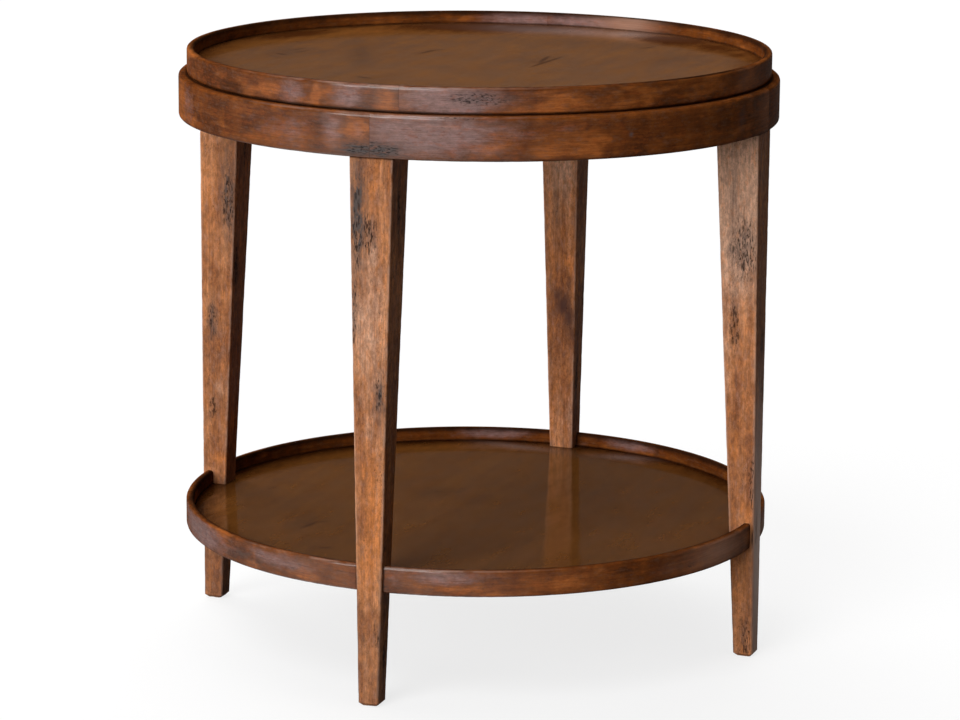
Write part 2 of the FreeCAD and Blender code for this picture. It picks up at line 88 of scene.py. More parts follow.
# Reach of rubbed wear, which also carries a painted highlight, from the arrises, and of grime and painted
# shade from the corners where pieces meet
RUB_REACH = 4.5 * MM
GRIME_AND_SHADE_REACH = 5 * MM
FOOT_LINE_REACH = 2.5 * MM
# Reach of the painted shade and grime on the rims' tops, from their inner edge
RIM_TOP_REACH = 10 * MM
# Reach of the painted shade on each leg just under the apron
SHOULDER_SHADE_REACH = 3 * MM
LOW_ARRIS_RISE = 160 * MM
LOW_ARRIS_GRIME = 0.75
# Strength of the painted shade on each leg just under the apron
SHOULDER_SHADE = 0.8
# Painted shade at the ends of the shelf rims, where they meet the legs: reach and strength
END_SHADE_REACH = 5 * MM
END_SHADE = 0.85
# Painted shade on the boards towards their rims: depth and reach
BOARD_EDGE_SHADE = {"top_panel": (0.85, 70 * MM), "shelf_panel": (0.9, 56 * MM)}
# The wax coat, and the pale rubbed arrises with their painted highlight, are strongest near the front azimuth
FRONT_AZIMUTH = math.radians(2)
POLISH_SPREAD, POLISH_LEAST = math.radians(26), 0.03
RUB_HIGHLIGHT_SPREAD, RUB_HIGHLIGHT_LEAST = math.radians(40), 0.12

# Cuts and wear of the surfaces, and the seeds of what is random
STRIP_WEAR = {"Cut density": 3000.0, "Cut length": 3.0 * MM, "Cut width": 1.1 * MM, "Cut depth": 0.3 * MM,
              "Rub depth": 0.4 * MM, "Waver depth": 0.2 * MM}
LEG_WEAR = STRIP_WEAR | {"Cut density": 6000.0, "Cut length": 4.4 * MM, "Cut depth": 0.45 * MM,
                         "Rub depth": 0.35 * MM}
BOARD_WEAR = {"Cut density": 5000.0, "Cut length": 8 * MM, "Cut width": 2.2 * MM, "Cut depth": 0.25 * MM,
              "Rub depth": 0.3 * MM, "Waver depth": 0.2 * MM}
LEG_SEED, BOARD_SEED, STRAY_SEED = 40, 70, 61
GRAIN_SHIFT = 2.7

# Patterns of the finishes: size in millimetres along, across and through the fibres, detail and roughness.
# A pair of edges is where a pattern starts to show and where it shows in full. A range adds its two values.
NOISE_MIDDLE = 0.5
SWAY = ((90, 30, 30), 1.0)
BANDS, BAND_EDGES = ((220, 9, 12), 3.0, 0.55), (0.28, 0.72)
STREAKS, STREAK_EDGES = ((55, 1.3, 1.6), 2.0, 0.6), (0.25, 0.75)
PORES, PORE_EDGES = ((11, 0.7, 0.8), 1.0), (0.60, 0.72)
SCUMBLE, SCUMBLE_EDGES = ((8.5, 4.2, 4.2), 5.0, 0.8), (0.28, 0.72)
DABS, DAB_EDGES, DAB_SHIFT = ((12, 4.6, 4.6), 4.0, 0.75), (0.30, 0.70), (0.31, 0.17, 0.23)
COOL_EDGES, WARM_EDGES = (0.55, 1.0), (0.45, 0.0)
BAR_WIDTH, BAR_EDGES = 70 * MM, (0.3, 0.7)
STAIN_OUTLINE, STAIN_RAGGED = ((15, 6, 6), 5.0, 0.7), 0.9
STAIN_CLOUD, AMBER_CLOUD, MAUVE_CLOUD, MAUVE_FAINT = ((60, 20, 20), 3.0), (0.50, 0.74), (0.48, 0.26), 0.3
UMBER_STAIN, UMBER_CLOUD = ((34, 14, 14), 3.0, 0.6), (0.48, 0.72)
AMBER_EDGES, MAUVE_AND_SHEEN_EDGES, UMBER_AND_SHADE_EDGES = (0.1, 1.1), (0.2, 1.0), (0.1, 1.0)
DASH_DETAIL, DASH_EDGES = 1.0, (0.53, 0.61)
DOTS, DOT_EDGES = ((2.4, 1.3, 1.3), 1.0), (0.60, 0.72)
STRAY_FIELD, STRAY_EDGES = ((50, 16, 16), 2.0), (0.38, 0.66)
CLUSTER_OUTLINE, CLUSTER_EDGES, CLUSTER_HAZE = ((10, 4, 4), 3.0, 0.65), (0.15, 0.7), 0.3
HAZE_STREAKS, HAZE_STREAK_RANGE = ((30, 2.2, 2.2), 2.0), (0.25, 0.7, 0.6, 1.0)
HAZE_PATCH_RANGE = (0.30, 0.60, 0.45, 1.0)
WEAR_BREAKS, WEAR_BREAK_EDGES = ((24, 10, 10), 4.0, 0.65), (0.34, 0.60)
RUB_EDGES, GRIME_AND_SHADE_EDGES, GRIME_AND_SHADE_RAGGED = (0.30, 0.90), (0.30, 0.95), 0.5
SMEARS, SMEAR_ROUGHNESS, SMEAR_COAT_RANGE = ((60, 22, 22), 3.0, 0.6), 0.30, (0.2, 0.7, 0.55, 1.0)
DULL_ROUGHNESS, DULL_COAT, RUBBED_DULL, ROUGHNESS_LIMITS = 0.3, 0.85, 0.5, (0.05, 0.95)
STREAK_RELIEF, PORE_RELIEF, RELIEF_STRENGTH = 0.25, 0.3, 0.7
CUT_CLUSTER, CUT_EDGES = (0.25, 0.8), (0.55, 1.0)
WAVER = ((160, 30, 30), 1.0)
ARRIS_BREAKS, ARRIS_BREAK_EDGES = ((18, 10, 10), 3.0, 0.6), (0.42, 0.72)

FLOAT, VECTOR = "NodeSocketFloat", "NodeSocketVector"
GEOMETRY, MATERIAL, WHOLE_NUMBER = "NodeSocketGeometry", "NodeSocketMaterial", "NodeSocketInt"


class Nodes:
    """Adds nodes to a tree. An input that is given a socket is linked, and any other value is set on it."""

    def __init__(self, tree):
        self.tree = tree

    def add(self, kind, values=None, **settings):
        node = self.tree.nodes.new(kind)
        for name, value in settings.items():
            setattr(node, name, value)
        for key, value in (values or {}).items():
            if isinstance(value, bpy.types.NodeSocket):
                self.tree.links.new(value, node.inputs[key])
            else:
                node.inputs[key].default_value = value
        return node

    def group(self, tree, values):
        """A shader group, with the values that this material gives it."""
        return self.add("ShaderNodeGroup", values, node_tree=tree).outputs

    def math(self, operation, first, second=0.0):
        return self.add("ShaderNodeMath", {0: first, 1: second}, operation=operation).outputs[0]

    def vector(self, operation, first, second):
        return self.add("ShaderNodeVectorMath", {0: first, 1: second}, operation=operation).outputs[0]

    def combine(self, x=0.0, y=0.0, z=0.0):
        return self.add("ShaderNodeCombineXYZ", {0: x, 1: y, 2: z}).outputs[0]

    def mix(self, share, first, second, blend="MIX"):
        """Blends two colours. A Mix node takes them in sockets 6 and 7, and gives their blend in 2."""
        values = {0: share, 6: first, 7: second}
        return self.add("ShaderNodeMix", values, data_type="RGBA", blend_type=blend).outputs[2]

    def between(self, value, low, high, start=0.0, end=1.0):
        values = {"Value": value, "From Min": low, "From Max": high, "To Min": start, "To Max": end}
        return self.add("ShaderNodeMapRange", values, interpolation_type="SMOOTHSTEP").outputs[0]

    def shrink(self, along, across):
        """The scale that brings a length along the fibres, and a width across them, to 1."""
        narrow = self.math("DIVIDE", 1.0, across)
        return self.combine(self.math("DIVIDE", 1.0, along), narrow, narrow)

    def cloud(self, vector, scale, detail=2.0, roughness=0.5):
        """Cloudy noise over a vector at a scale."""
        scaled = self.vector("MULTIPLY", vector, scale)
        values = {"Vector": scaled, "Scale": 1.0, "Detail": detail, "Roughness": roughness}
        return self.add("ShaderNodeTexNoise", values).outputs[0]

    def noise(self, vector, size, detail=2.0, roughness=0.5):
        """Cloudy noise whose blotches measure size, in millimetres along, across and through the fibres."""
        return self.cloud(vector, [1 / (length * MM) for length in size], detail, roughness)

    def swing(self, noise, amount):
        """Noise that swings to both sides of zero."""
        return self.math("MULTIPLY", self.math("SUBTRACT", noise, NOISE_MIDDLE), amount)

    def attribute(self, name, output="Fac"):
        return self.add("ShaderNodeAttribute", attribute_name=name).outputs[output]


def new_group(name, kind, inputs, outputs):
    """A node group whose named sockets are given with their kinds."""
    tree = bpy.data.node_groups.new(name, kind)
    for side, sockets in (("INPUT", inputs), ("OUTPUT", outputs)):
        for socket_name, socket_kind in sockets.items():
            tree.interface.new_socket(socket_name, in_out=side, socket_type=socket_kind)
    given = tree.nodes.new("NodeGroupInput").outputs
    result = tree.nodes.new("NodeGroupOutput").inputs
    return tree, Nodes(tree), given, result


def stain(red, green, blue):
    """A finish colour, written as it looks on a screen from 0 to 255, in linear light by the sRGB curve."""
    share = np.array([red, green, blue]) / 255
    linear = np.where(share <= 0.04045, share / 12.92, ((share + 0.055) / 1.055) ** 2.4)
    return (*linear.tolist(), 1.0)


# Shader groups: what several finishes share

def make_fibre_group():
    """Wood fibres drawn out along the grain, in bands, streaks and pores, under a dabbed scumble of glaze."""
    tree, nodes, given, result = new_group(
        "wood_fibre", "ShaderNodeTree", {"Grain": VECTOR, "Wander": FLOAT},
        {"Bands": FLOAT, "Streaks": FLOAT, "Pores": FLOAT, "Scumble": FLOAT, "Dabs": FLOAT})
    grain = given["Grain"]
    shift = nodes.swing(nodes.noise(grain, *SWAY), given["Wander"])
    bent = nodes.vector("ADD", grain, nodes.combine(y=shift, z=shift))
    shifted = nodes.vector("ADD", grain, DAB_SHIFT)
    patterns = {
        "Bands": (bent, BANDS, BAND_EDGES), "Streaks": (bent, STREAKS, STREAK_EDGES),
        "Pores": (bent, PORES, PORE_EDGES), "Scumble": (grain, SCUMBLE, SCUMBLE_EDGES),
        "Dabs": (shifted, DABS, DAB_EDGES),
    }
    for name, (place, pattern, edges) in patterns.items():
        tree.links.new(nodes.between(nodes.noise(place, *pattern), *edges), result[name])
    return tree


def make_blotch_group():
    """Uneven stain: cross bars of figure, amber patches, a faint pinkish-grey film and dark brown patches;
    given spots add painted sheen to the film and painted shade to the dark patches.
    """
    tree, nodes, given, result = new_group(
        "stain_blotches", "ShaderNodeTree",
        {"Grain": VECTOR, "Bar length": FLOAT, "Amber spot": FLOAT, "Mauve and sheen spot": FLOAT, "Umber and shade spot": FLOAT},
        {"Bars": FLOAT, "Amber": FLOAT, "Mauve and sheen": FLOAT, "Umber and shade": FLOAT})
    grain = given["Grain"]
    bars = nodes.cloud(grain, nodes.shrink(given["Bar length"], BAR_WIDTH))
    ragged = nodes.swing(nodes.noise(grain, *STAIN_OUTLINE), STAIN_RAGGED)
    cloud = nodes.noise(grain, *STAIN_CLOUD)
    amber = nodes.math("ADD", nodes.between(cloud, *AMBER_CLOUD), given["Amber spot"])
    faint = nodes.math("MULTIPLY", nodes.between(cloud, *MAUVE_CLOUD), MAUVE_FAINT)
    mauve_and_sheen = nodes.math("ADD", faint, given["Mauve and sheen spot"])
    dark_patches = nodes.between(nodes.noise(grain, *UMBER_STAIN), *UMBER_CLOUD)
    umber_and_shade = nodes.math("ADD", dark_patches, given["Umber and shade spot"])
    tree.links.new(nodes.between(bars, *BAR_EDGES), result["Bars"])
    tree.links.new(nodes.between(nodes.math("ADD", amber, ragged), *AMBER_EDGES), result["Amber"])
    tree.links.new(nodes.between(nodes.math("SUBTRACT", mauve_and_sheen, ragged), *MAUVE_AND_SHEEN_EDGES), result["Mauve and sheen"])
    tree.links.new(nodes.between(nodes.math("ADD", umber_and_shade, ragged), *UMBER_AND_SHADE_EDGES), result["Umber and shade"])
    return tree


def make_worm_group():
    """Worm marks and distress: short dark dashes in clusters, with dark glaze left around and in them, and
    given spots of dark glaze, of which one on the top is a painted reflection.
    """
    tree, nodes, given, result = new_group(
        "worm_marks", "ShaderNodeTree",
        {"Grain": VECTOR, "Cluster": FLOAT, "Cut": FLOAT, "Haze and reflection spot": FLOAT, "Stray": FLOAT,
         "Dash length": FLOAT, "Dash width": FLOAT},
        {"Marks": FLOAT, "Haze and reflection": FLOAT})
    grain = given["Grain"]
    dash = nodes.cloud(grain, nodes.shrink(given["Dash length"], given["Dash width"]), DASH_DETAIL)
    outline = nodes.noise(grain, *CLUSTER_OUTLINE)
    cluster = nodes.math("ADD", given["Cluster"], nodes.swing(outline, 1.0))
    dashes = nodes.math("MULTIPLY", nodes.between(dash, *DASH_EDGES), nodes.between(cluster, *CLUSTER_EDGES))
    field = nodes.between(nodes.noise(grain, *STRAY_FIELD), *STRAY_EDGES)
    dots = nodes.between(nodes.noise(grain, *DOTS), *DOT_EDGES)
    strays = nodes.math("MULTIPLY", dots, nodes.math("MULTIPLY", field, given["Stray"]))
    marks = nodes.math("MAXIMUM", nodes.math("MAXIMUM", dashes, strays), given["Cut"])
    haze_and_reflection = nodes.math("ADD", given["Haze and reflection spot"], nodes.math("MULTIPLY", given["Cluster"], CLUSTER_HAZE))
    streaky = nodes.between(nodes.noise(grain, *HAZE_STREAKS), *HAZE_STREAK_RANGE)
    patchy = nodes.math("MULTIPLY", streaky, nodes.between(outline, *HAZE_PATCH_RANGE))
    tree.links.new(marks, result["Marks"])
    tree.links.new(nodes.math("MULTIPLY", haze_and_reflection, patchy), result["Haze and reflection"])
    return tree


def make_rub_group():
    """Edge wear and painted light: arrises worn pale in broken runs, which also carry a painted highlight,
    and packed soiling with painted shade in the corners where pieces meet.
    """
    tree, nodes, given, result = new_group(
        "rubbed_edges", "ShaderNodeTree", {"Grain": VECTOR, "Rub": FLOAT, "Grime and shade": FLOAT},
        {"Rubbed and highlit": FLOAT, "Dirt and shade": FLOAT})
    breaks = nodes.noise(given["Grain"], *WEAR_BREAKS)
    rubbed_and_highlit = nodes.between(given["Rub"], *RUB_EDGES)
    worn = nodes.math("MULTIPLY", rubbed_and_highlit, nodes.between(breaks, *WEAR_BREAK_EDGES))
    packed = nodes.math("ADD", given["Grime and shade"], nodes.swing(breaks, GRIME_AND_SHADE_RAGGED))
    tree.links.new(worn, result["Rubbed and highlit"])
    tree.links.new(nodes.between(packed, *GRIME_AND_SHADE_EDGES), result["Dirt and shade"])
    return tree


def make_gloss_group():
    """Buffed wax finish: sheen that comes and goes in smears, dull where it is marked or worn."""
    tree, nodes, given, result = new_group(
        "waxed_gloss", "ShaderNodeTree", {"Grain": VECTOR, "Dull": FLOAT, "Roughness": FLOAT, "Coat": FLOAT},
        {"Roughness": FLOAT, "Coat": FLOAT})
    smear = nodes.noise(given["Grain"], *SMEARS)
    uneven = nodes.math("ADD", given["Roughness"], nodes.swing(smear, SMEAR_ROUGHNESS))
    rough = nodes.math("ADD", uneven, nodes.math("MULTIPLY", given["Dull"], DULL_ROUGHNESS))
    kept = nodes.math("SUBTRACT", 1.0, nodes.math("MULTIPLY", given["Dull"], DULL_COAT))
    coat = nodes.math("MULTIPLY", given["Coat"], kept)
    smeared = nodes.math("MULTIPLY", coat, nodes.between(smear, *SMEAR_COAT_RANGE))
    tree.links.new(nodes.between(rough, 0.0, 1.0, *ROUGHNESS_LIMITS), result["Roughness"])
    tree.links.new(smeared, result["Coat"])
    return tree


FIBRE = make_fibre_group()
BLOTCHES = make_blotch_group()
WORM = make_worm_group()
RUBBED = make_rub_group()
GLOSS = make_gloss_group()


# Materials

def new_material(name):
    material = bpy.data.materials.new(name)
    material.use_nodes = True
    shader = material.node_tree.nodes["Principled BSDF"]
    return material, Nodes(material.node_tree), shader


def finish_shader(nodes, shader, linked, fixed):
    for name, socket in linked.items():
        nodes.tree.links.new(socket, shader.inputs[name])
    for name, value in fixed.items():
        shader.inputs[name].default_value = value


def over(nodes, below, look, layer, mask):
    """Lays one of the look's colours over those below, at its own share, where the mask is."""
    return nodes.mix(nodes.math("MULTIPLY", mask, look[layer + "_share"]), below, look[layer])


def shade_by(nodes, pattern, depth):
    """Shade that goes lighter and darker than 1 by a depth."""
    return nodes.between(pattern, 0.0, 1.0, 1 - depth, 1 + depth)


def stain_colour(nodes, look, fibre, blotches, streaks):
    """The stain itself, with painted sheen and painted shade in some of its patches: bands and bars of tone,
    patches, cool and warm dabs, streaks and dark pores.
    """
    bands = nodes.math("MULTIPLY", fibre["Bands"], 1 - look["bar_share"])
    bars = nodes.math("MULTIPLY", blotches["Bars"], look["bar_share"])
    colour = nodes.mix(nodes.math("ADD", bands, bars), look["deep"], look["light"])
    colour = over(nodes, colour, look, "umber_and_shade", blotches["Umber and shade"])
    colour = over(nodes, colour, look, "amber", blotches["Amber"])
    colour = over(nodes, colour, look, "mauve_and_sheen", blotches["Mauve and sheen"])
    cool = nodes.between(fibre["Dabs"], *COOL_EDGES, 0.0, look["tint_share"])
    warm = nodes.between(fibre["Dabs"], *WARM_EDGES, 0.0, look["tint_share"])
    colour = nodes.mix(cool, colour, look["cool"])
    colour = nodes.mix(warm, colour, look["warm"])
    shade = nodes.math("MULTIPLY", streaks, shade_by(nodes, fibre["Scumble"], look["dab_depth"]))
    colour = nodes.mix(1.0, colour, nodes.combine(shade, shade, shade), "MULTIPLY")
    return nodes.mix(nodes.math("MULTIPLY", fibre["Pores"], look["pore_share"]), colour, look["deep"])


def worn_colour(nodes, look, colour, worm, edges, knot):
    """The stain under its wear and painted light: pale worn arrises that also carry a painted highlight,
    knots, glaze that on the top also holds a painted reflection, worm marks, and soiling with painted shade,
    one over the other.
    """
    masks = {"rubbed_and_highlit": edges["Rubbed and highlit"], "knot": knot, "haze_and_reflection": worm["Haze and reflection"], "mark": worm["Marks"],
             "dirt_and_shade": edges["Dirt and shade"]}
    for layer, mask in masks.items():
        colour = over(nodes, colour, look, layer, mask)
    return colour


def wax_gloss(nodes, look, grain, worm, edges, knot):
    """Sheen of the wax, dull on marks, worn arrises, soiling with painted shade, and knots."""
    marked = nodes.math("MAXIMUM", worm["Marks"], worm["Haze and reflection"])
    marked = nodes.math("MAXIMUM", marked, nodes.math("MULTIPLY", edges["Rubbed and highlit"], RUBBED_DULL))
    dull = nodes.math("MAXIMUM", nodes.math("MULTIPLY", marked, look["mark_dull"]), edges["Dirt and shade"])
    dull = nodes.math("MAXIMUM", dull, nodes.math("MULTIPLY", knot, look["knot_dull"]))
    coat = nodes.math("MULTIPLY", nodes.attribute("polish"), look["coat"])
    return nodes.group(GLOSS, {"Grain": grain, "Dull": dull, "Roughness": look["roughness"], "Coat": coat})


def fibre_relief(nodes, look, fibre, worm):
    """Fine relief of the surface: raised streaks, sunk pores and marks."""
    raised = nodes.math("MULTIPLY", fibre["Streaks"], STREAK_RELIEF)
    sunk = nodes.math("ADD", worm["Marks"], nodes.math("MULTIPLY", fibre["Pores"], PORE_RELIEF))
    height = nodes.math("SUBTRACT", raised, sunk)
    values = {"Height": height, "Distance": look["relief"], "Strength": RELIEF_STRENGTH}
    return nodes.add("ShaderNodeBump", values).outputs[0]


def stained_wood(name, look):
    """Stained, distressed and waxed hardwood, with painted sheen, highlight and shade laid over it. The look
    holds this piece's colours and strengths.
    """
    material, nodes, shader = new_material(name)
    grain = nodes.attribute("grain", "Vector")
    fibre = nodes.group(FIBRE, {"Grain": grain, "Wander": look["wander"]})
    blotches = nodes.group(BLOTCHES, {
        "Grain": grain, "Bar length": look["bar_length"], "Amber spot": nodes.attribute("amber"),
        "Mauve and sheen spot": nodes.attribute("mauve_and_sheen"), "Umber and shade spot": nodes.attribute("umber_and_shade")})
    worm = nodes.group(WORM, {
        "Grain": grain, "Cluster": nodes.attribute("worm"), "Cut": nodes.attribute("cut"),
        "Haze and reflection spot": nodes.attribute("haze_and_reflection"), "Stray": look["stray"], "Dash length": look["dash_length"],
        "Dash width": look["dash_width"]})
    edges = nodes.group(RUBBED, {
        "Grain": grain, "Rub": nodes.attribute("rub_and_highlight"), "Grime and shade": nodes.attribute("grime_and_shade")})
    streaks = shade_by(nodes, fibre["Streaks"], look["streak_depth"])
    knot = nodes.between(nodes.math("MULTIPLY", nodes.attribute("knot"), streaks), *look["knot_edges"])
    colour = stain_colour(nodes, look, fibre, blotches, streaks)
    colour = worn_colour(nodes, look, colour, worm, edges, knot)
    # Painted sheen and painted reflection, laid over the worn colour
    painted_sheen = nodes.math("MULTIPLY", nodes.attribute("painted_sheen"), streaks)
    colour = nodes.mix(painted_sheen, colour, look["painted_sheen"])
    gloss = wax_gloss(nodes, look, grain, worm, edges, knot)
    normal = fibre_relief(nodes, look, fibre, worm)
    finish_shader(
        nodes, shader,
        {"Base Color": colour, "Roughness": gloss["Roughness"], "Coat Weight": gloss["Coat"],
         "Normal": normal},
        {"Specular IOR Level": look["specular"], "Coat Roughness": look["coat_roughness"],
         "Coat IOR": look["coat_ior"]})
    return material


BARE_WANDER, BARE_PORES, BARE_ROUGHNESS, BARE_SPECULAR = 0.003, 0.5, (0.62, 0.8), 0.25
BARE_RELIEF, BARE_RELIEF_STRENGTH = 0.2 * MM, 0.6


def bare_wood(name, light, deep):
    """Unfinished wood inside the table, with its fibres along X."""
    material, nodes, shader = new_material(name)
    grain = nodes.add("ShaderNodeTexCoord").outputs["Object"]
    fibre = nodes.group(FIBRE, {"Grain": grain, "Wander": BARE_WANDER})
    colour = nodes.mix(fibre["Bands"], deep, light)
    colour = nodes.mix(nodes.math("MULTIPLY", fibre["Pores"], BARE_PORES), colour, deep)
    rough = nodes.between(fibre["Streaks"], 0.0, 1.0, *BARE_ROUGHNESS)
    bump = nodes.add("ShaderNodeBump", {
        "Height": fibre["Streaks"], "Distance": BARE_RELIEF, "Strength": BARE_RELIEF_STRENGTH})
    finish_shader(nodes, shader, {"Base Color": colour, "Roughness": rough, "Normal": bump.outputs[0]},
                  {"Specular IOR Level": BARE_SPECULAR})
    return material


PLATING, PLATING_EDGES, PLATING_ROUGHNESS = ((4, 4, 4), 3.0, 0.6), (0.3, 0.7), (0.28, 0.45)
SCRATCHES, SCRATCH_RANGE = ((6, 0.3, 0.3), 2.0), (0.6, 0.7, 0.0, 0.2)
SCRATCH_RELIEF, SCRATCH_RELIEF_STRENGTH = 0.03 * MM, 0.5


def plated_steel(name, dark, light):
    """Zinc-plated screws: grey metal, mottled and a little scratched."""
    material, nodes, shader = new_material(name)
    spot = nodes.add("ShaderNodeTexCoord").outputs["Object"]
    cloud = nodes.noise(spot, *PLATING)
    scratch = nodes.noise(spot, *SCRATCHES)
    colour = nodes.mix(nodes.between(cloud, *PLATING_EDGES), dark, light)
    mottled = nodes.between(cloud, *PLATING_EDGES, *PLATING_ROUGHNESS)
    rough = nodes.math("ADD", mottled, nodes.between(scratch, *SCRATCH_RANGE))
    bump = nodes.add("ShaderNodeBump", {
        "Height": scratch, "Distance": SCRATCH_RELIEF, "Strength": SCRATCH_RELIEF_STRENGTH})
    finish_shader(nodes, shader, {"Base Color": colour, "Roughness": rough, "Normal": bump.outputs[0]},
                  {"Metallic": 1.0})
    return material


# In each look the mauve colour also serves as painted sheen, the bloom colour is painted sheen, the rubbed
# colour also carries a painted highlight, the umber and dirt colours also carry painted shade, and the
# board's haze colour holds one painted reflection
RIM_LOOK = {
    "deep": stain(82, 41, 15), "light": stain(126, 69, 28), "bar_length": 18 * MM, "bar_share": 0.45,
    "umber_and_shade": stain(58, 30, 15), "umber_and_shade_share": 0.55, "amber": stain(164, 93, 42), "amber_share": 0.75,
    "mauve_and_sheen": stain(144, 114, 110), "mauve_and_sheen_share": 0.8, "cool": stain(108, 78, 62), "warm": stain(146, 72, 28),
    "tint_share": 0.32, "wander": 0.006, "streak_depth": 0.13, "dab_depth": 0.15, "pore_share": 0.4,
    "rubbed_and_highlit": stain(190, 160, 146), "rubbed_and_highlit_share": 0.5, "haze_and_reflection": stain(86, 79, 77), "haze_and_reflection_share": 1.0,
    "mark": stain(34, 26, 25), "mark_share": 0.8, "mark_dull": 1.0, "painted_sheen": stain(186, 142, 120),
    "dirt_and_shade": stain(32, 18, 11), "dirt_and_shade_share": 0.92, "stray": 0.4, "dash_length": 4.2 * MM,
    "dash_width": 1.0 * MM, "knot": stain(80, 56, 50), "knot_share": 0.9, "knot_edges": (0.1, 0.9),
    "knot_dull": 0.0, "roughness": 0.5, "coat": 1.0, "coat_roughness": 0.18, "coat_ior": 1.5,
    "specular": 0.0, "relief": 0.3 * MM,
}
LEG_LOOK = RIM_LOOK | {
    "deep": stain(142, 88, 57), "light": stain(204, 139, 94), "bar_length": 50 * MM, "bar_share": 0.25,
    "umber_and_shade": stain(108, 64, 43), "umber_and_shade_share": 0.5, "amber": stain(206, 126, 66), "amber_share": 0.55,
    "mauve_and_sheen": stain(218, 174, 146), "cool": stain(156, 118, 100), "warm": stain(204, 126, 70),
    "tint_share": 0.4, "wander": 0.008, "streak_depth": 0.12, "dab_depth": 0.27,
    "rubbed_and_highlit": stain(210, 168, 144), "rubbed_and_highlit_share": 0.6, "haze_and_reflection": stain(92, 82, 78), "stray": 0.6,
    "dash_length": 5.2 * MM, "dash_width": 1.25 * MM, "roughness": 0.6, "coat": 0.05, "coat_roughness": 0.3,
}
BOARD_LOOK = RIM_LOOK | {
    "deep": stain(118, 72, 31), "light": stain(128, 80, 36), "bar_length": 50 * MM, "bar_share": 0.4,
    "umber_and_shade": stain(104, 63, 32), "umber_and_shade_share": 0.35, "amber": stain(132, 84, 44), "amber_share": 0.4,
    "mauve_and_sheen": stain(106, 68, 42), "mauve_and_sheen_share": 0.5, "cool": stain(108, 70, 46), "warm": stain(128, 82, 40),
    "tint_share": 0.1, "wander": 0.02, "streak_depth": 0.02, "dab_depth": 0.08, "pore_share": 0.06,
    "rubbed_and_highlit": stain(140, 100, 70), "haze_and_reflection": stain(74, 46, 28), "mark_share": 0.65, "mark_dull": 0.0,
    "painted_sheen": stain(120, 104, 100), "dirt_and_shade": stain(58, 27, 9), "stray": 0.25, "dash_length": 9 * MM,
    "knot": stain(60, 36, 22), "knot_share": 0.75, "knot_edges": (0.35, 0.75), "knot_dull": 0.45,
    "roughness": 0.45, "coat_roughness": 0.1, "relief": 0.002 * MM,
}
# The shelf takes the top's stain, darkened as painted shade for its place under the top
SHADED_SHELF_LOOK = BOARD_LOOK | {
    "deep": stain(98, 58, 22), "light": stain(108, 66, 26), "umber_and_shade": stain(86, 50, 22),
    "amber": stain(112, 68, 32), "mauve_and_sheen": stain(92, 58, 30), "cool": stain(92, 58, 34),
    "warm": stain(110, 66, 28), "haze_and_reflection": stain(64, 40, 22), "dirt_and_shade": stain(48, 20, 6),
}
RIM_WOOD = stained_wood("rim_wood", RIM_LOOK)
LEG_WOOD = stained_wood("leg_wood", LEG_LOOK)
TOP_WOOD = stained_wood("top_wood", BOARD_LOOK)
SHADED_SHELF_WOOD = stained_wood("shaded_shelf_wood", SHADED_SHELF_LOOK)
BLOCK_WOOD = bare_wood("block_wood", stain(196, 158, 112), stain(160, 120, 78))
DOWEL_WOOD = bare_wood("dowel_wood", stain(212, 176, 132), stain(184, 142, 98))
SCREW_STEEL = plated_steel("screw_steel", stain(150, 148, 142), stain(186, 184, 178))


# Node trees that make shapes

def end_tree(nodes, geometry, material, result):
    whole = nodes.add("GeometryNodeRealizeInstances", {"Geometry": geometry})
    finished = nodes.add("GeometryNodeSetMaterial", {"Geometry": whole.outputs[0], "Material": material})
    nodes.tree.links.new(finished.outputs[0], result["Geometry"])


def store(nodes, geometry, name, value):
    """Keeps a number at every point under a name."""
    values = {"Geometry": geometry, "Name": name, "Value": value}
    return nodes.add("GeometryNodeStoreNamedAttribute", values, data_type="FLOAT", domain="POINT").outputs[0]


def make_strip_tree():
    """A strip bent round the table: a rectangle with eased edges, swept along an arc."""
    sizes = ("Inner radius", "Outer radius", "Bottom", "Top", "Edge round", "Start angle", "Sweep angle",
             "Step")
    tree, nodes, given, result = new_group(
        "bent_strip", "GeometryNodeTree", {name: FLOAT for name in sizes} | {"Material": MATERIAL},
        {"Geometry": GEOMETRY})

    def middle(low, high):
        return nodes.math("MULTIPLY", nodes.math("ADD", given[low], given[high]), 0.5)

    radius = middle("Inner radius", "Outer radius")
    length = nodes.math("MULTIPLY", radius, given["Sweep angle"])
    count = nodes.math("ADD", nodes.math("CEIL", nodes.math("DIVIDE", length, given["Step"])), 1.0)
    arc = nodes.add("GeometryNodeCurveArc", {
        "Resolution": count, "Radius": radius, "Start Angle": given["Start angle"],
        "Sweep Angle": given["Sweep angle"]})
    upright = nodes.add("GeometryNodeSetCurveNormal", {"Curve": arc.outputs[0]}, mode="Z_UP")
    share = nodes.add("GeometryNodeSplineParameter").outputs["Factor"]
    marked = store(nodes, upright.outputs[0], "share", share)
    section = nodes.add("GeometryNodeCurvePrimitiveQuadrilateral", {
        "Width": nodes.math("SUBTRACT", given["Outer radius"], given["Inner radius"]),
        "Height": nodes.math("SUBTRACT", given["Top"], given["Bottom"])})
    eased = nodes.add("GeometryNodeFilletCurve", {
        "Curve": section.outputs[0], "Count": STRIP_EDGE_STEPS, "Radius": given["Edge round"]}, mode="POLY")
    stepped = nodes.add("GeometryNodeResampleCurve", {
        "Curve": eased.outputs[0], "Length": given["Step"]}, mode="LENGTH")
    swept = nodes.add("GeometryNodeCurveToMesh", {
        "Curve": marked, "Profile Curve": stepped.outputs[0], "Fill Caps": True})
    raised = nodes.add("GeometryNodeTransform", {
        "Geometry": swept.outputs[0], "Translation": nodes.combine(z=middle("Bottom", "Top"))})
    end_tree(nodes, raised.outputs[0], given["Material"], result)
    return tree


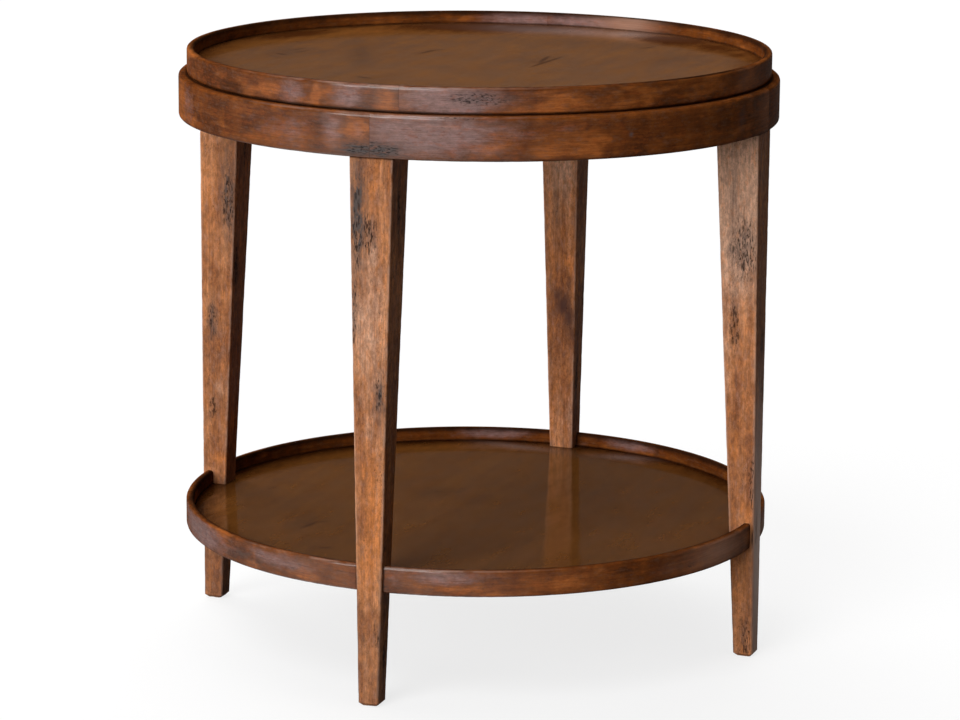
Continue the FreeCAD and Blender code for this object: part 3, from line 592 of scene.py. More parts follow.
def make_wear_tree():
    """Distress cut into a finished surface: worm cuts, worn-down arrises and a hand-planed waver."""
    sizes = ("Cut density", "Cut length", "Cut width", "Cut depth", "Rub depth", "Waver depth")
    tree, nodes, given, result = new_group(
        "cut_distress", "GeometryNodeTree",
        {"Geometry": GEOMETRY} | {name: FLOAT for name in sizes}
        | {"Seed": WHOLE_NUMBER, "Material": MATERIAL},
        {"Geometry": GEOMETRY})

    def named(name, data_type="FLOAT"):
        return nodes.add("GeometryNodeInputNamedAttribute", {"Name": name}, data_type=data_type).outputs[0]

    grain = named("grain", "FLOAT_VECTOR")
    density = nodes.math("MULTIPLY", nodes.between(named("worm"), *CUT_CLUSTER), given["Cut density"])
    points = nodes.add("GeometryNodeDistributePointsOnFaces", {
        "Mesh": given["Geometry"], "Density": density, "Seed": given["Seed"]}).outputs["Points"]
    nearest = nodes.add("GeometryNodeSampleNearest", {"Geometry": points}).outputs[0]
    centre = nodes.add("GeometryNodeSampleIndex", {
        "Geometry": points, "Value": grain, "Index": nearest}, data_type="FLOAT_VECTOR").outputs[0]
    offset = nodes.vector("SUBTRACT", grain, centre)
    scaled = nodes.vector("MULTIPLY", offset, nodes.shrink(given["Cut length"], given["Cut width"]))
    distance = nodes.add("ShaderNodeVectorMath", {0: scaled}, operation="LENGTH").outputs["Value"]
    cut = nodes.between(distance, *CUT_EDGES, 1.0, 0.0)
    stored = store(nodes, given["Geometry"], "cut", cut)
    breaks = nodes.between(nodes.noise(grain, *ARRIS_BREAKS), *ARRIS_BREAK_EDGES)
    rubbed_and_highlit = nodes.math("MULTIPLY", named("rub_and_highlight"), breaks)
    depth = nodes.math("MULTIPLY", cut, given["Cut depth"])
    depth = nodes.math("ADD", depth, nodes.math("MULTIPLY", rubbed_and_highlit, given["Rub depth"]))
    waver = nodes.math("MULTIPLY", nodes.noise(grain, *WAVER), given["Waver depth"])
    inward = nodes.math("MULTIPLY", nodes.math("ADD", depth, waver), -1.0)
    normal = nodes.add("GeometryNodeInputNormal").outputs[0]
    moved = nodes.add("ShaderNodeVectorMath", {0: normal, "Scale": inward}, operation="SCALE").outputs[0]
    worn = nodes.add("GeometryNodeSetPosition", {"Geometry": stored, "Offset": moved})
    end_tree(nodes, worn.outputs[0], given["Material"], result)
    return tree


STRIP = make_strip_tree()
WEAR = make_wear_tree()


# Meshes and their attributes

def new_piece(name, mesh):
    piece = bpy.data.objects.new(name, mesh)
    bpy.context.scene.collection.objects.link(piece)
    return piece


def shape_by(piece, tree, values):
    """Runs a node tree on a piece with these named sizes, and keeps the mesh that it makes."""
    modifier = piece.modifiers.new(tree.name, "NODES")
    modifier.node_group = tree
    for item in tree.interface.items_tree:
        if item.in_out == "INPUT" and item.name in values:
            modifier[item.identifier] = values[item.name]
    graph = bpy.context.evaluated_depsgraph_get()
    shaped = piece.evaluated_get(graph)
    made = bpy.data.meshes.new_from_object(shaped, preserve_all_data_layers=True, depsgraph=graph)
    piece.modifiers.clear()
    started = piece.data
    piece.data = made
    bpy.data.meshes.remove(started)
    made.name = piece.name


def points_of(mesh):
    points = np.empty(len(mesh.vertices) * 3, np.float32)
    mesh.vertices.foreach_get("co", points)
    return points.reshape(-1, 3).astype(float)


def normals_of(mesh):
    normals = np.empty(len(mesh.vertices) * 3, np.float32)
    mesh.vertex_normals.foreach_get("vector", normals)
    return normals.reshape(-1, 3).astype(float)


def give(mesh, name, values):
    """Stores a number or a vector at every point of a mesh, for the node trees and materials to read."""
    kind, field = ("FLOAT_VECTOR", "vector") if values.ndim == 2 else ("FLOAT", "value")
    attribute = mesh.attributes.new(name, kind, "POINT")
    attribute.data.foreach_set(field, values.astype(np.float32).ravel())


def near(distance, reach):
    """1 at no distance, falling evenly to 0 at the reach."""
    return np.clip(1 - distance / reach, 0, 1)


# Marks listed by piece, face and kind. On a bent strip a mark is (azimuth, height, half width,
# half height, strength), with the azimuth in degrees, 0 at the front and growing to the right. On a leg it is
# (across, up, half width, half height, strength). Other lengths are in millimetres.

STRIP_SPOTS = {
    "apron_front_right": {
        "out": {
            "worm": [(2.2, 549, 20, 6.5, 0.9), (16.5, 582.5, 24, 2.2, 0.8)],
            "haze_and_reflection": [(2.2, 548.5, 27, 9, 1.0), (48, 563, 2, 2, 1.4), (77, 564, 7, 10, 0.5)],
            # Painted sheen across the front
            "mauve_and_sheen": [(11, 566, 86, 26, 0.95)],
            "amber": [(23, 560, 36, 18, 0.5), (36, 559, 46, 16, 0.6), (62, 560, 26, 9, 0.3),
                      (89, 562, 30, 30, 0.8)],
            # Painted sheen at the right end
            "painted_sheen": [(89, 562, 26, 30, 0.16)],
        },
    },
    "apron_front_left": {
        "out": {
            "worm": [(-2, 549, 16, 6.5, 0.9)],
            "haze_and_reflection": [(-2.4, 548, 28, 9, 1.0)],
            "umber_and_shade": [(-36, 560, 60, 14, 0.6)],
            "amber": [(-58, 562, 44, 26, 0.8), (-2.3, 566, 11, 12, 1.1), (-7, 552, 13, 9, 0.8),
                      (-27, 572, 38, 8, 0.5), (-50, 560, 30, 20, 0.25), (-18, 562, 36, 20, 0.55)],
            # Painted sheen near the front and at the far left
            "mauve_and_sheen": [(-2.3, 566, 9, 11, 0.5), (-7.5, 566, 15, 20, 0.75), (-16, 562, 34, 22, 0.45),
                      (-22, 560, 26, 12, 0.45), (-51, 562, 26, 26, 0.5)],
        },
    },
    "tray_rim_right": {
        "out": {
            "worm": [(19.6, 599, 27, 6.5, 1.0)],
            "haze_and_reflection": [(19.6, 599, 28, 7, 0.3), (80, 598, 10, 10, 0.5)],
            # Painted sheen at the front
            "mauve_and_sheen": [(14.5, 598, 56, 16, 1.1)],
            "umber_and_shade": [(62, 598, 50, 16, 0.4)],
            "amber": [(36.5, 594, 36, 11, 0.6), (50, 596, 34, 10, 0.35), (83, 598, 30, 18, 0.8)],
            # Painted sheen at the right end
            "painted_sheen": [(84, 598, 26, 18, 0.12)],
        },
        # Painted sheen on the inner face at the back
        "in": {"mauve_and_sheen": [(178, 602, 56, 14, 1.0)], "painted_sheen": [(166, 602, 36, 16, 0.65)]},
        # Painted shade on the top face towards the right
        "top": {"grime_and_shade": [(66, 610, 150, 40, 0.9)]},
    },
    "tray_rim_left": {
        "out": {
            "amber": [(-11.8, 595, 4.5, 16, 1.2), (2.8, 595, 11, 14, 0.9), (-31, 600, 14, 8, 0.5)],
            # Painted sheen near the front
            "mauve_and_sheen": [(-5.2, 596, 20, 14, 0.9), (-17.5, 596, 20, 13, 0.75)],
            "umber_and_shade": [(-38, 596, 60, 16, 1.3)],
            "haze_and_reflection": [(-8, 590, 10, 6, 0.3)],
            "grime_and_shade": [(-33, 594, 44, 14, 0.55)],
        },
        # Painted sheen on the inner face at the back
        "in": {"mauve_and_sheen": [(-170, 602, 56, 14, 1.0)], "amber": [(-140, 600, 40, 9, 0.4)]},
    },
    "shelf_rim_front_left": {
        "out": {
            # Painted sheen
            "mauve_and_sheen": [(-54, 128, 40, 16, 0.7), (-48, 128, 76, 18, 1.0), (-18, 131, 44, 9, 0.8)],
            "amber": [(-25.7, 132, 3, 12, 0.7), (-14, 124, 18, 6, 0.3)],
            "haze_and_reflection": [(-28, 126, 44, 12, 0.5), (-50, 130, 60, 14, 0.5), (-13, 130, 36, 14, 0.4)],
        },
        # Painted shade on the inner face, which looks away from the light
        "in": {"umber_and_shade": [(-70, 136, 120, 16, 1.3)]},
    },
    "shelf_rim_front_right": {
        "out": {
            # Painted sheen at the front and at the right end
            "mauve_and_sheen": [(12, 134, 50, 9, 0.8), (78, 130, 30, 16, 0.3)],
            "amber": [(10, 126, 40, 9, 0.6), (36, 127, 60, 12, 0.75), (76, 130, 44, 14, 1.0)],
            "worm": [(66, 124, 8, 3.5, 0.7)],
            "haze_and_reflection": [(60, 126, 16, 6, 0.4)],
            # Painted sheen at the right end
            "painted_sheen": [(76, 130, 50, 16, 0.65)],
        },
    },
    # Painted sheen on the inner face at the back
    "shelf_rim_back_left": {"in": {"mauve_and_sheen": [(-166, 137, 50, 8, 1.0)]}},
    "shelf_rim_back_right": {
        # Painted sheen on the inner face at the back
        "in": {"mauve_and_sheen": [(166, 137, 40, 8, 0.95)], "amber": [(130, 136, 60, 8, 0.5)]},
        # Painted sheen on the outer face past the right leg
        "out": {"painted_sheen": [(99, 127, 30, 14, 0.8)]},
    },
}
LEG_SPOTS = {
    "leg_front": {
        "front": {
            "worm": [(-13, 470, 5.5, 36, 1.0), (0, 467, 8, 21, 1.0), (-16, 390, 3, 44, 0.7),
                     (10, 316, 5, 24, 1.0), (8, 70, 4, 18, 0.6)],
            "haze_and_reflection": [(-13, 490, 8, 62, 1.25), (-1, 467, 7, 17, 0.5), (-16, 402, 4, 40, 0.7),
                     (11, 306, 6, 26, 1.0)],
            "amber": [(3, 190, 8, 80, 1.0)],
            # Painted sheen down the middle of the face
            "mauve_and_sheen": [(0, 378, 26, 110, 0.62)],
            "umber_and_shade": [(0, 510, 30, 26, 0.5), (0, 50, 30, 50, 0.5)],
        },
        # Painted shade on the side that looks away from the light
        "right": {"umber_and_shade": [(-288, 200, 30, 150, 1.3)], "grime_and_shade": [(-288, 160, 30, 70, 0.5)]},
    },
    "leg_left": {
        "front": {
            "worm": [(-270, 434, 8, 34, 0.9), (-290, 307, 5, 20, 1.0), (-291, 212, 5, 14, 0.8)],
            "haze_and_reflection": [(-270, 445, 10, 58, 0.85), (-290, 305, 5, 24, 0.7)],
            "amber": [(-280, 156, 14, 9, 1.0)],
            # Painted sheen
            "mauve_and_sheen": [(-285, 240, 40, 130, 0.25), (-276, 525, 30, 36, 0.5)],
            # Painted shade near the shelf, and a darker foot
            "umber_and_shade": [(-293, 30, 30, 38, 0.9), (-285, 230, 30, 90, 0.75), (-290, 168, 24, 30, 1.0)],
        },
        # Painted shade on the side that looks away from the light
        "right": {"umber_and_shade": [(0, 190, 30, 130, 1.4)], "grime_and_shade": [(0, 150, 30, 70, 0.6)]},
    },
    "leg_right": {
        "front": {
            "worm": [(289, 424, 14, 35, 1.0), (280, 345, 6, 28, 1.0), (302, 186, 4, 36, 0.9),
                     (298, 21, 5, 22, 1.0)],
            "haze_and_reflection": [(288, 426, 15, 36, 0.55), (276, 423, 5, 8, 0.8), (277, 462, 4, 70, 0.6)],
            "amber": [(292, 70, 20, 50, 0.7)],
            # Painted sheen, strongest at the top
            "mauve_and_sheen": [(282, 500, 40, 120, 1.6), (282, 330, 40, 100, 0.3)],
            "umber_and_shade": [(286, 200, 30, 80, 0.9)],
            # Painted shadow where the shelf rim meets the leg
            "grime_and_shade": [(304, 128, 4, 17, 1.0)],
        },
        "right": {
            # Painted shade high on the side that looks away from the light
            "umber_and_shade": [(0, 420, 40, 240, 1.3)],
            # Painted sheen low on that side
            "painted_sheen": [(0, 110, 40, 160, 0.8)],
            "polish": [(0, 100, 40, 170, 7.0)],
        },
    },
    "leg_back": {
        "front": {
            "knot": [(-2, 300, 10, 15, 0.65), (4, 290, 11, 18, 0.85), (10, 278, 9, 20, 0.8),
                     (14, 258, 6, 20, 0.65), (11, 318, 5, 12, 0.5)],
            "haze_and_reflection": [(-4, 397, 4, 42, 0.6)],
            "amber": [(-8, 345, 6, 30, 0.6)],
            # Painted sheen
            "mauve_and_sheen": [(0, 470, 30, 80, 0.75), (0, 165, 30, 40, 0.35)],
            "umber_and_shade": [(0, 260, 30, 90, 0.95)],
        },
        # Painted shade on the side that looks away from the light
        "right": {"umber_and_shade": [(284, 280, 40, 420, 1.3)], "grime_and_shade": [(284, 150, 30, 70, 0.6)]},
    },
}

# On a board a mark is (right, back, half width, half length, lean to the right in degrees, strength).

BOARD_SPOTS = {
    "top_panel": {
        "knot": [(70, 6, 2.4, 52, 3, 1.3), (62, 22, 2.6, 34, -8, 1.1), (-67, 30, 2.4, 20, 10, 1.3),
                 (-62, 46, 2.2, 13, 40, 1.0), (-198, -47, 3.2, 10, 120, 1.1), (-186, -20, 2.4, 16, 15, 1.0),
                 (-58, -172, 4, 14, 115, 1.0), (-196, -4, 2.4, 12, 20, 1.0), (132, 150, 2.2, 20, 20, 1.0)],
        # The long leaning dark band among these is a painted reflection; the others are glaze
        "haze_and_reflection": [(60, 12, 16, 40, 0, 0.4), (-66, 30, 9, 26, 10, 0.35), (-204, -30, 30, 60, -20, 0.4),
                 (-125, -12, 13, 110, -21.6, 0.55), (126, 160, 18, 30, 10, 0.35), (180, 60, 20, 40, 0, 0.3)],
        # Painted shade near the rims, which also stands for the dark rims' reflection
        "grime_and_shade": [(-84, 236, 170, 62, -19.8, 1.0), (140, 216, 76, 46, 32, 1.05),
                  (-246, 104, 100, 36, -67, 0.95), (196, 178, 84, 38, 47, 0.9), (234, 136, 56, 26, 58, 0.8)],
        # Painted reflection near the back rim
        "painted_sheen": [(14, 240, 90, 34, 0, 0.5), (78, 244, 30, 26, 0, 0.75), (-66, 250, 18, 20, 0, 0.3)],
    },
    "shelf_panel": {
        "knot": [(-132, -134, 2.6, 22, 11, 1.0), (-122, -116, 2.4, 12, 60, 0.8),
                 (-84, -210, 3.4, 10, 60, 0.9), (-58, 42, 3, 14, 40, 0.7), (138, 44, 2.6, 16, 15, 0.7),
                 (-226, -8, 3, 14, 20, 0.7)],
        "haze_and_reflection": [(-136, -126, 14, 34, 11, 0.4), (-58, 42, 22, 26, 20, 0.4), (216, 60, 16, 30, 0, 0.35),
                 (60, 120, 30, 50, -10, 0.3)],
        # Painted reflection near the back rim
        "painted_sheen": [(74, 256, 40, 12, -10, 0.45), (-40, 262, 56, 11, 8, 0.4)],
    },
}
SPOT_KINDS = ("worm", "haze_and_reflection", "amber", "mauve_and_sheen", "umber_and_shade", "knot", "painted_sheen", "grime_and_shade", "polish")
UPWARD = (0, 0, 1)

# Faces of a leg: where each looks, and the axis that runs across it
LEG_FACES = {"front": ((0, -1, 0), 0), "right": ((1, 0, 0), 1), "back": ((0, 1, 0), 0),
             "left": ((-1, 0, 0), 1)}
FACING_START, FACING_FADE = 0.55, 0.25
FACE_SLOPE, FACE_FADE = math.radians(55), math.radians(20)
FOOT_GLAZE = (30, 24, 80, 0.25)
STRAY_FACES, STRAY_COUNT = ("right", "back", "left"), 3
STRAY_LEVELS, STRAY_SIDES = (0.05, 0.95), (-0.6, 0.6)
STRAY_WIDTHS, STRAY_HEIGHTS = (3, 7), (14, 32)
STRAY_WORM, STRAY_HAZE = (0.7, 1.0), (0.3, 0.9)


def facing(normals, direction):
    """1 on the faces that look that way, 0 on the others."""
    return np.clip((np.sum(normals * direction, axis=1) - FACING_START) / FACING_FADE, 0, 1)


def spot_mask(across, up, place, half_size, lean=0):
    """A soft spot on a face, leaning to the right of upright by an angle in degrees."""
    turn = math.radians(lean)
    right, rise = across - place[0] * MM, up - place[1] * MM
    wide = (right * math.cos(turn) - rise * math.sin(turn)) / (half_size[0] * MM)
    tall = (right * math.sin(turn) + rise * math.cos(turn)) / (half_size[1] * MM)
    return np.exp(-wide ** 2 - tall ** 2)


def listed(spots):
    """Every mark of a piece as (face, kind, numbers of the mark)."""
    return [(face, kind, row)
            for face, kinds in spots.items() for kind, rows in kinds.items() for row in rows]


def paint_spots(mesh, masks):
    """Stores the marks of each kind, given as (kind, mask, strength)."""
    total = {kind: np.zeros(len(mesh.vertices)) for kind in SPOT_KINDS}
    for kind, mask, strength in masks:
        total[kind] = np.maximum(total[kind], mask * strength)
    for kind, values in total.items():
        give(mesh, kind, values)


def dress(piece, node, material, wear):
    """Cuts the distress into a piece, shades it smooth and hangs it on the frame in place of its solid."""
    shape_by(piece, WEAR, wear | {"Material": material})
    piece.data.shade_smooth()
    piece.data.set_sharp_from_angle(angle=SHARP_ANGLE)
    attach(piece, "root")
    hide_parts(node)


# The frame's own sizes

def solid_points(node):
    return points_of(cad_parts[node].data)


def ring_of(node):
    """Inner and outer radius, bottom and top of a bent solid."""
    points = solid_points(node)
    radius = np.hypot(points[:, 0], points[:, 1])
    return radius.min(), radius.max(), points[:, 2].min(), points[:, 2].max()


def leg_outline(node, out, height):
    """Nearest and furthest reach from the table's axis, and half width, of a leg's solid at a height."""
    points = solid_points(node)
    level = points[np.abs(points[:, 2] - height) < LEVEL_TOLERANCE]
    side = np.array([-out[1], out[0], 0])
    return (level @ out).min(), (level @ out).max(), np.abs(level @ side).max()


APRON = ring_of("apron_front_right")
TRAY = ring_of("tray_rim_right")
SHELF = ring_of("shelf_rim_front_right")
APRON_INNER, _, APRON_BOTTOM, APRON_TOP = APRON
TRAY_INNER, TRAY_OUTER, TRAY_BOTTOM, TRAY_TOP = TRAY
SHELF_INNER, _, SHELF_BOTTOM, SHELF_TOP = SHELF
TOP_BOARD_LOW, TOP_BOARD_HIGH = (corner.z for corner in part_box("top_panel"))
SHELF_BOARD_LOW, SHELF_BOARD_HIGH = (corner.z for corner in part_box("shelf_panel"))
OUT_X = np.array([1.0, 0.0, 0.0])
FOOT_INNER, FOOT_OUTER, FOOT_HALF = leg_outline("leg_right", OUT_X, FOOT_CHAMFER)
SHOULDER_INNER, SHOULDER_OUTER, SHOULDER_HALF = leg_outline("leg_right", OUT_X, APRON_BOTTOM)


def leg_at(height):
    """Inner reach, outer reach and half width of a leg at a height."""
    share = (height - FOOT_CHAMFER) / (APRON_BOTTOM - FOOT_CHAMFER)
    return tuple(low + (high - low) * share for low, high in (
        (FOOT_INNER, SHOULDER_INNER), (FOOT_OUTER, SHOULDER_OUTER), (FOOT_HALF, SHOULDER_HALF)))


# Bent strips: apron quarters, tray rim halves and shelf rim quarters

def wrapped(angle):
    """The same angle, from minus to plus half a turn."""
    return (angle + math.pi) % math.tau - math.pi


def share_along(mesh):
    """How far along its strip each point lies, from 0 to 1."""
    share = np.empty(len(mesh.vertices), np.float32)
    mesh.attributes["share"].data.foreach_get("value", share)
    return share


def front_weight(azimuth, spread, least):
    """1 at the front, falling to the least behind it: it sets the worn arrises' painted highlight and the
    wax's strongest coat at the front.
    """
    return least + (1 - least) * np.exp(-((azimuth - FRONT_AZIMUTH) / spread) ** 2)


def scribe_to_legs(mesh, start):
    """Moves a shelf rim's ends onto the tapered sides of the two legs that it stands between."""
    points = points_of(mesh)
    share = share_along(mesh)
    radius = np.hypot(points[:, 0], points[:, 1])
    inset = np.arcsin(leg_at(points[:, 2])[2] / radius)
    angle = math.radians(start) + inset + share * (math.pi / 2 - 2 * inset)
    points[:, 0] = radius * np.cos(angle)
    points[:, 1] = radius * np.sin(angle)
    mesh.vertices.foreach_set("co", points.astype(np.float32).ravel())
    mesh.update()


def strip_faces(mesh, points, radius, middle):
    """Where a bent strip's outer, inner and upper faces are."""
    outward = points * [1, 1, 0] / radius[:, None]
    normals = normals_of(mesh)
    slope = np.arctan2(np.abs(normals[:, 2]), np.abs(np.sum(normals * outward, axis=1)))
    upright = np.clip((FACE_SLOPE - slope) / FACE_FADE, 0, 1)
    outer_side = radius > middle
    return {"out": upright * outer_side, "in": upright * ~outer_side, "top": facing(normals, UPWARD)}


def mark_strip(mesh, node, ring, start, sweep, grime_and_shade_corners, order, scribed):
    """Gives a bent strip its grain, wear and marks."""
    inner, outer, bottom, top = ring
    points = points_of(mesh)
    radius, height = np.hypot(points[:, 0], points[:, 1]), points[:, 2]
    share = share_along(mesh)
    length = math.radians(sweep) * outer
    azimuth = wrapped(math.radians(start - FRONT_ANGLE) + share * math.radians(sweep))

    def from_corner(corner):
        return np.hypot(radius - corner[0], height - corner[1])

    corners = [(r, z) for r in (inner, outer) for z in (bottom, top)]
    from_arris = np.min([from_corner(corner) for corner in corners], axis=0)
    give(mesh, "rub_and_highlight", front_weight(azimuth, RUB_HIGHLIGHT_SPREAD, RUB_HIGHLIGHT_LEAST) * near(from_arris, RUB_REACH))
    give(mesh, "grain", np.stack([share * length + order * GRAIN_SHIFT, radius - inner, height], axis=1))
    masks = [("grime_and_shade", near(from_corner(corner), corner[2]), 1.0) for corner in grime_and_shade_corners]
    masks.append(("polish", front_weight(azimuth, POLISH_SPREAD, POLISH_LEAST), 1.0))
    if scribed:
        # Painted shade at the rim's ends, where it meets the legs
        from_end = np.minimum(share, 1 - share) * length
        masks.append(("grime_and_shade", near(from_end, END_SHADE_REACH), END_SHADE))
    faces = strip_faces(mesh, points, radius, (inner + outer) / 2)
    for face, kind, (turn, up, *half_size, strength) in listed(STRIP_SPOTS.get(node, {})):
        run = wrapped(azimuth - math.radians(turn)) * outer
        masks.append((kind, spot_mask(run, height, (0, up), half_size) * faces[face], strength))
    paint_spots(mesh, masks)


def make_strip(node, ring, rounding, start, sweep, grime_and_shade_corners, order, scribed=False):
    inner, outer, bottom, top = ring
    piece = new_piece(node + "_wood", bpy.data.meshes.new(node))
    shape_by(piece, STRIP, {
        "Inner radius": inner, "Outer radius": outer, "Bottom": bottom, "Top": top, "Edge round": rounding,
        "Start angle": math.radians(start), "Sweep angle": math.radians(sweep), "Step": STRIP_STEP,
        "Material": RIM_WOOD})
    if scribed:
        scribe_to_legs(piece.data, start)
    mark_strip(piece.data, node, ring, start, sweep, grime_and_shade_corners, order, scribed)
    dress(piece, node, RIM_WOOD, STRIP_WEAR | {"Seed": order})


def make_strips():
    # Corners where pieces meet darken with grime and painted shade, and the rims' tops darken from their
    # inner edge with painted shade and grime
    apron_corners = [(TRAY_OUTER, APRON_TOP, GRIME_AND_SHADE_REACH)]
    shelf_corners = [(SHELF_INNER, SHELF_BOARD_HIGH, FOOT_LINE_REACH),
                     (SHELF_INNER, SHELF_TOP, RIM_TOP_REACH)]
    tray_corners = [(TRAY_OUTER, TRAY_BOTTOM, GRIME_AND_SHADE_REACH), (TRAY_INNER, TOP_BOARD_HIGH, FOOT_LINE_REACH),
                    (TRAY_INNER, TRAY_TOP, RIM_TOP_REACH)]
    order = 1
    for quarter, start in QUARTER_STARTS.items():
        make_strip(f"apron_{quarter}", APRON, APRON_ROUND, start, QUARTER_TURN, apron_corners, order)
        make_strip(f"shelf_rim_{quarter}", SHELF, RIM_ROUND, start, QUARTER_TURN, shelf_corners, order + 1,
                   scribed=True)
        order += 2
    for node, start in TRAY_STARTS.items():
        make_strip(node, TRAY, RIM_ROUND, start, HALF_TURN, tray_corners, order)
        order += 1


# Legs

def rounded_loop():
    """A rectangle with rounded corners: the corner centre that each point follows, and its offset from it."""
    centres, offsets = [], []
    signs = [(1, 1), (-1, 1), (-1, -1), (1, -1)]
    for turn, sign in enumerate(signs):
        following = signs[(turn + 1) % len(signs)]
        for step in range(LEG_CORNER_STEPS + 1):
            angle = math.pi / 2 * (turn + step / LEG_CORNER_STEPS)
            centres.append(sign)
            offsets.append((math.cos(angle), math.sin(angle)))
        for step in range(1, LEG_SIDE_STEPS):
            share = step / LEG_SIDE_STEPS
            centres.append([a + (b - a) * share for a, b in zip(sign, following)])
            offsets.append(offsets[-1])
    return np.array(centres, float), np.array(offsets, float)


def leg_sections():
    """Height, inner reach, outer reach and half width of a leg's sections, from the floor up."""
    sections = []
    for step in range(FOOT_STEPS):
        height = FOOT_CHAMFER * step / FOOT_STEPS
        inset = FOOT_CHAMFER - height
        inner, outer, half = leg_at(FOOT_CHAMFER)
        sections.append((height, inner + inset, outer - inset, half - inset))
    for height in np.linspace(FOOT_CHAMFER, APRON_BOTTOM, round(APRON_BOTTOM / LEG_STEP)):
        sections.append((height, *leg_at(height)))
    tongue = (SHOULDER_INNER + TONGUE_RECESS, APRON_INNER - TONGUE_CLEARANCE, SHOULDER_HALF - TONGUE_SHOULDER)
    for height in np.linspace(APRON_BOTTOM, APRON_TOP, round((APRON_TOP - APRON_BOTTOM) / TONGUE_STEP)):
        sections.append((height, *tongue))
    return np.array(sections)


def loft(rings):
    """A closed mesh through rings of points, with a flat face over each end."""
    levels, around = rings.shape[:2]
    index = np.arange(levels * around).reshape(levels, around)
    beside = np.roll(index, -1, axis=1)
    quads = np.stack([index[:-1], beside[:-1], beside[1:], index[1:]], axis=-1).reshape(-1, 4)
    faces = quads.tolist() + [index[0, ::-1].tolist(), index[-1].tolist()]
    mesh = bpy.data.meshes.new("loft")
    mesh.from_pydata(rings.reshape(-1, 3).tolist(), [], faces)
    return mesh


def turn_outward(mesh):
    shell = bmesh.new()
    shell.from_mesh(mesh)
    bmesh.ops.recalc_face_normals(shell, faces=shell.faces)
    shell.to_mesh(mesh)
    shell.free()


def leg_mesh(out, side):
    """A tapered leg with eased arrises and a chamfered foot, that stands out from the table's axis."""
    centres, offsets = rounded_loop()
    height, inner, outer, half = leg_sections().T
    middle, depth = (inner + outer) / 2, (outer - inner) / 2
    eased = LEG_ARRIS * offsets[None]
    across = (half - LEG_ARRIS)[:, None] * centres[None, :, 0] + eased[..., 0]
    along = middle[:, None] + (depth - LEG_ARRIS)[:, None] * centres[None, :, 1] + eased[..., 1]
    rings = across[..., None] * side + along[..., None] * out
    rings[..., 2] = height[:, None]
    mesh = loft(rings)
    turn_outward(mesh)
    return mesh


def stray_leg_spots(node, order):
    """Darker glaze on a leg's foot, and clusters on its three faces that look away from the front."""
    random = np.random.default_rng(STRAY_SEED + order)
    angle = math.radians(LEG_ANGLES[node])
    direction = (math.cos(angle), math.sin(angle))
    spots = []
    for face, (_, axis) in LEG_FACES.items():
        middle = (FOOT_INNER + FOOT_OUTER) / 2 * direction[axis]
        spots.append((face, "haze_and_reflection", (middle / MM, *FOOT_GLAZE)))
    for face in STRAY_FACES:
        axis = LEG_FACES[face][1]
        for _ in range(STRAY_COUNT):
            level = random.uniform(*STRAY_LEVELS) * APRON_BOTTOM
            inner, outer, half = leg_at(level)
            middle = (inner + outer) / 2 * direction[axis]
            place = ((middle + random.uniform(*STRAY_SIDES) * half) / MM, level / MM)
            half_size = (random.uniform(*STRAY_WIDTHS), random.uniform(*STRAY_HEIGHTS))
            spots.append((face, "worm", (*place, *half_size, random.uniform(*STRAY_WORM))))
            spots.append((face, "haze_and_reflection", (*place, *half_size, random.uniform(*STRAY_HAZE))))
    return spots


def mark_leg(mesh, node, out, side, order):
    """Gives a leg its grain, wear and marks."""
    points = points_of(mesh)
    reach, sideways, level = points @ out, points @ side, points[:, 2]
    low_reach, high_reach, half_width = leg_at(np.minimum(level, APRON_BOTTOM))
    from_face = np.minimum(np.abs(reach - low_reach), np.abs(high_reach - reach))
    from_arris = np.hypot(half_width - np.abs(sideways), from_face)
    from_floor = np.where(level < FOOT_CHAMFER, 1 - level / FOOT_CHAMFER, 0)
    give(mesh, "rub_and_highlight", np.maximum(near(from_arris, RUB_REACH), from_floor))
    give(mesh, "grain", np.stack([level + order * GRAIN_SHIFT, sideways, reach], axis=1))
    low = near(np.maximum(level - SHELF_BOTTOM, 0), LOW_ARRIS_RISE)
    # Painted shade just under the apron, and grime on the low arrises
    masks = [("grime_and_shade", near(np.abs(level - APRON_BOTTOM), SHOULDER_SHADE_REACH), SHOULDER_SHADE),
             ("grime_and_shade", near(from_arris, GRIME_AND_SHADE_REACH) * low, LOW_ARRIS_GRIME),
             ("polish", np.ones(len(points)), 1.0)]
    normals = normals_of(mesh)
    for face, kind, row in listed(LEG_SPOTS[node]) + stray_leg_spots(node, order):
        direction, axis = LEG_FACES[face]
        mask = spot_mask(points[:, axis], level, row[:2], row[2:4])
        masks.append((kind, facing(normals, direction) * mask, row[-1]))
    paint_spots(mesh, masks)


def make_leg(node, order):
    angle = math.radians(LEG_ANGLES[node])
    out = np.array([math.cos(angle), math.sin(angle), 0])
    side = np.array([-math.sin(angle), math.cos(angle), 0])
    piece = new_piece(node + "_wood", leg_mesh(out, side))
    mark_leg(piece.data, node, out, side, order)
    dress(piece, node, LEG_WOOD, LEG_WEAR | {"Seed": LEG_SEED + order})


# Boards: the tray's panel and the shelf

def round_outline(radius):
    count = round(math.tau * radius / BOARD_STEP)
    angles = np.arange(count) * math.tau / count
    return radius * np.stack([np.cos(angles), np.sin(angles)], axis=1)


def shelf_outline(radius):
    """The shelf's edge: a circle notched round each leg, whose inner face takes the board in a little."""
    reach, _, half = leg_at(SHELF_BOARD_HIGH)
    floor, half = reach + BOARD_LET_IN, half - NOTCH_OVERLAP
    skip = math.asin(half / radius)
    count = round(math.pi / 2 * radius / BOARD_STEP)
    outline = []
    for angle in map(math.radians, LEG_ANGLES.values()):
        out = np.array([math.cos(angle), math.sin(angle)])
        side = np.array([-out[1], out[0]])
        outline += [floor * out - half * side, floor * out + half * side]
        for turn in np.linspace(angle + skip, angle + math.pi / 2 - skip, count):
            outline.append(radius * np.array([math.cos(turn), math.sin(turn)]))
    return np.array(outline)


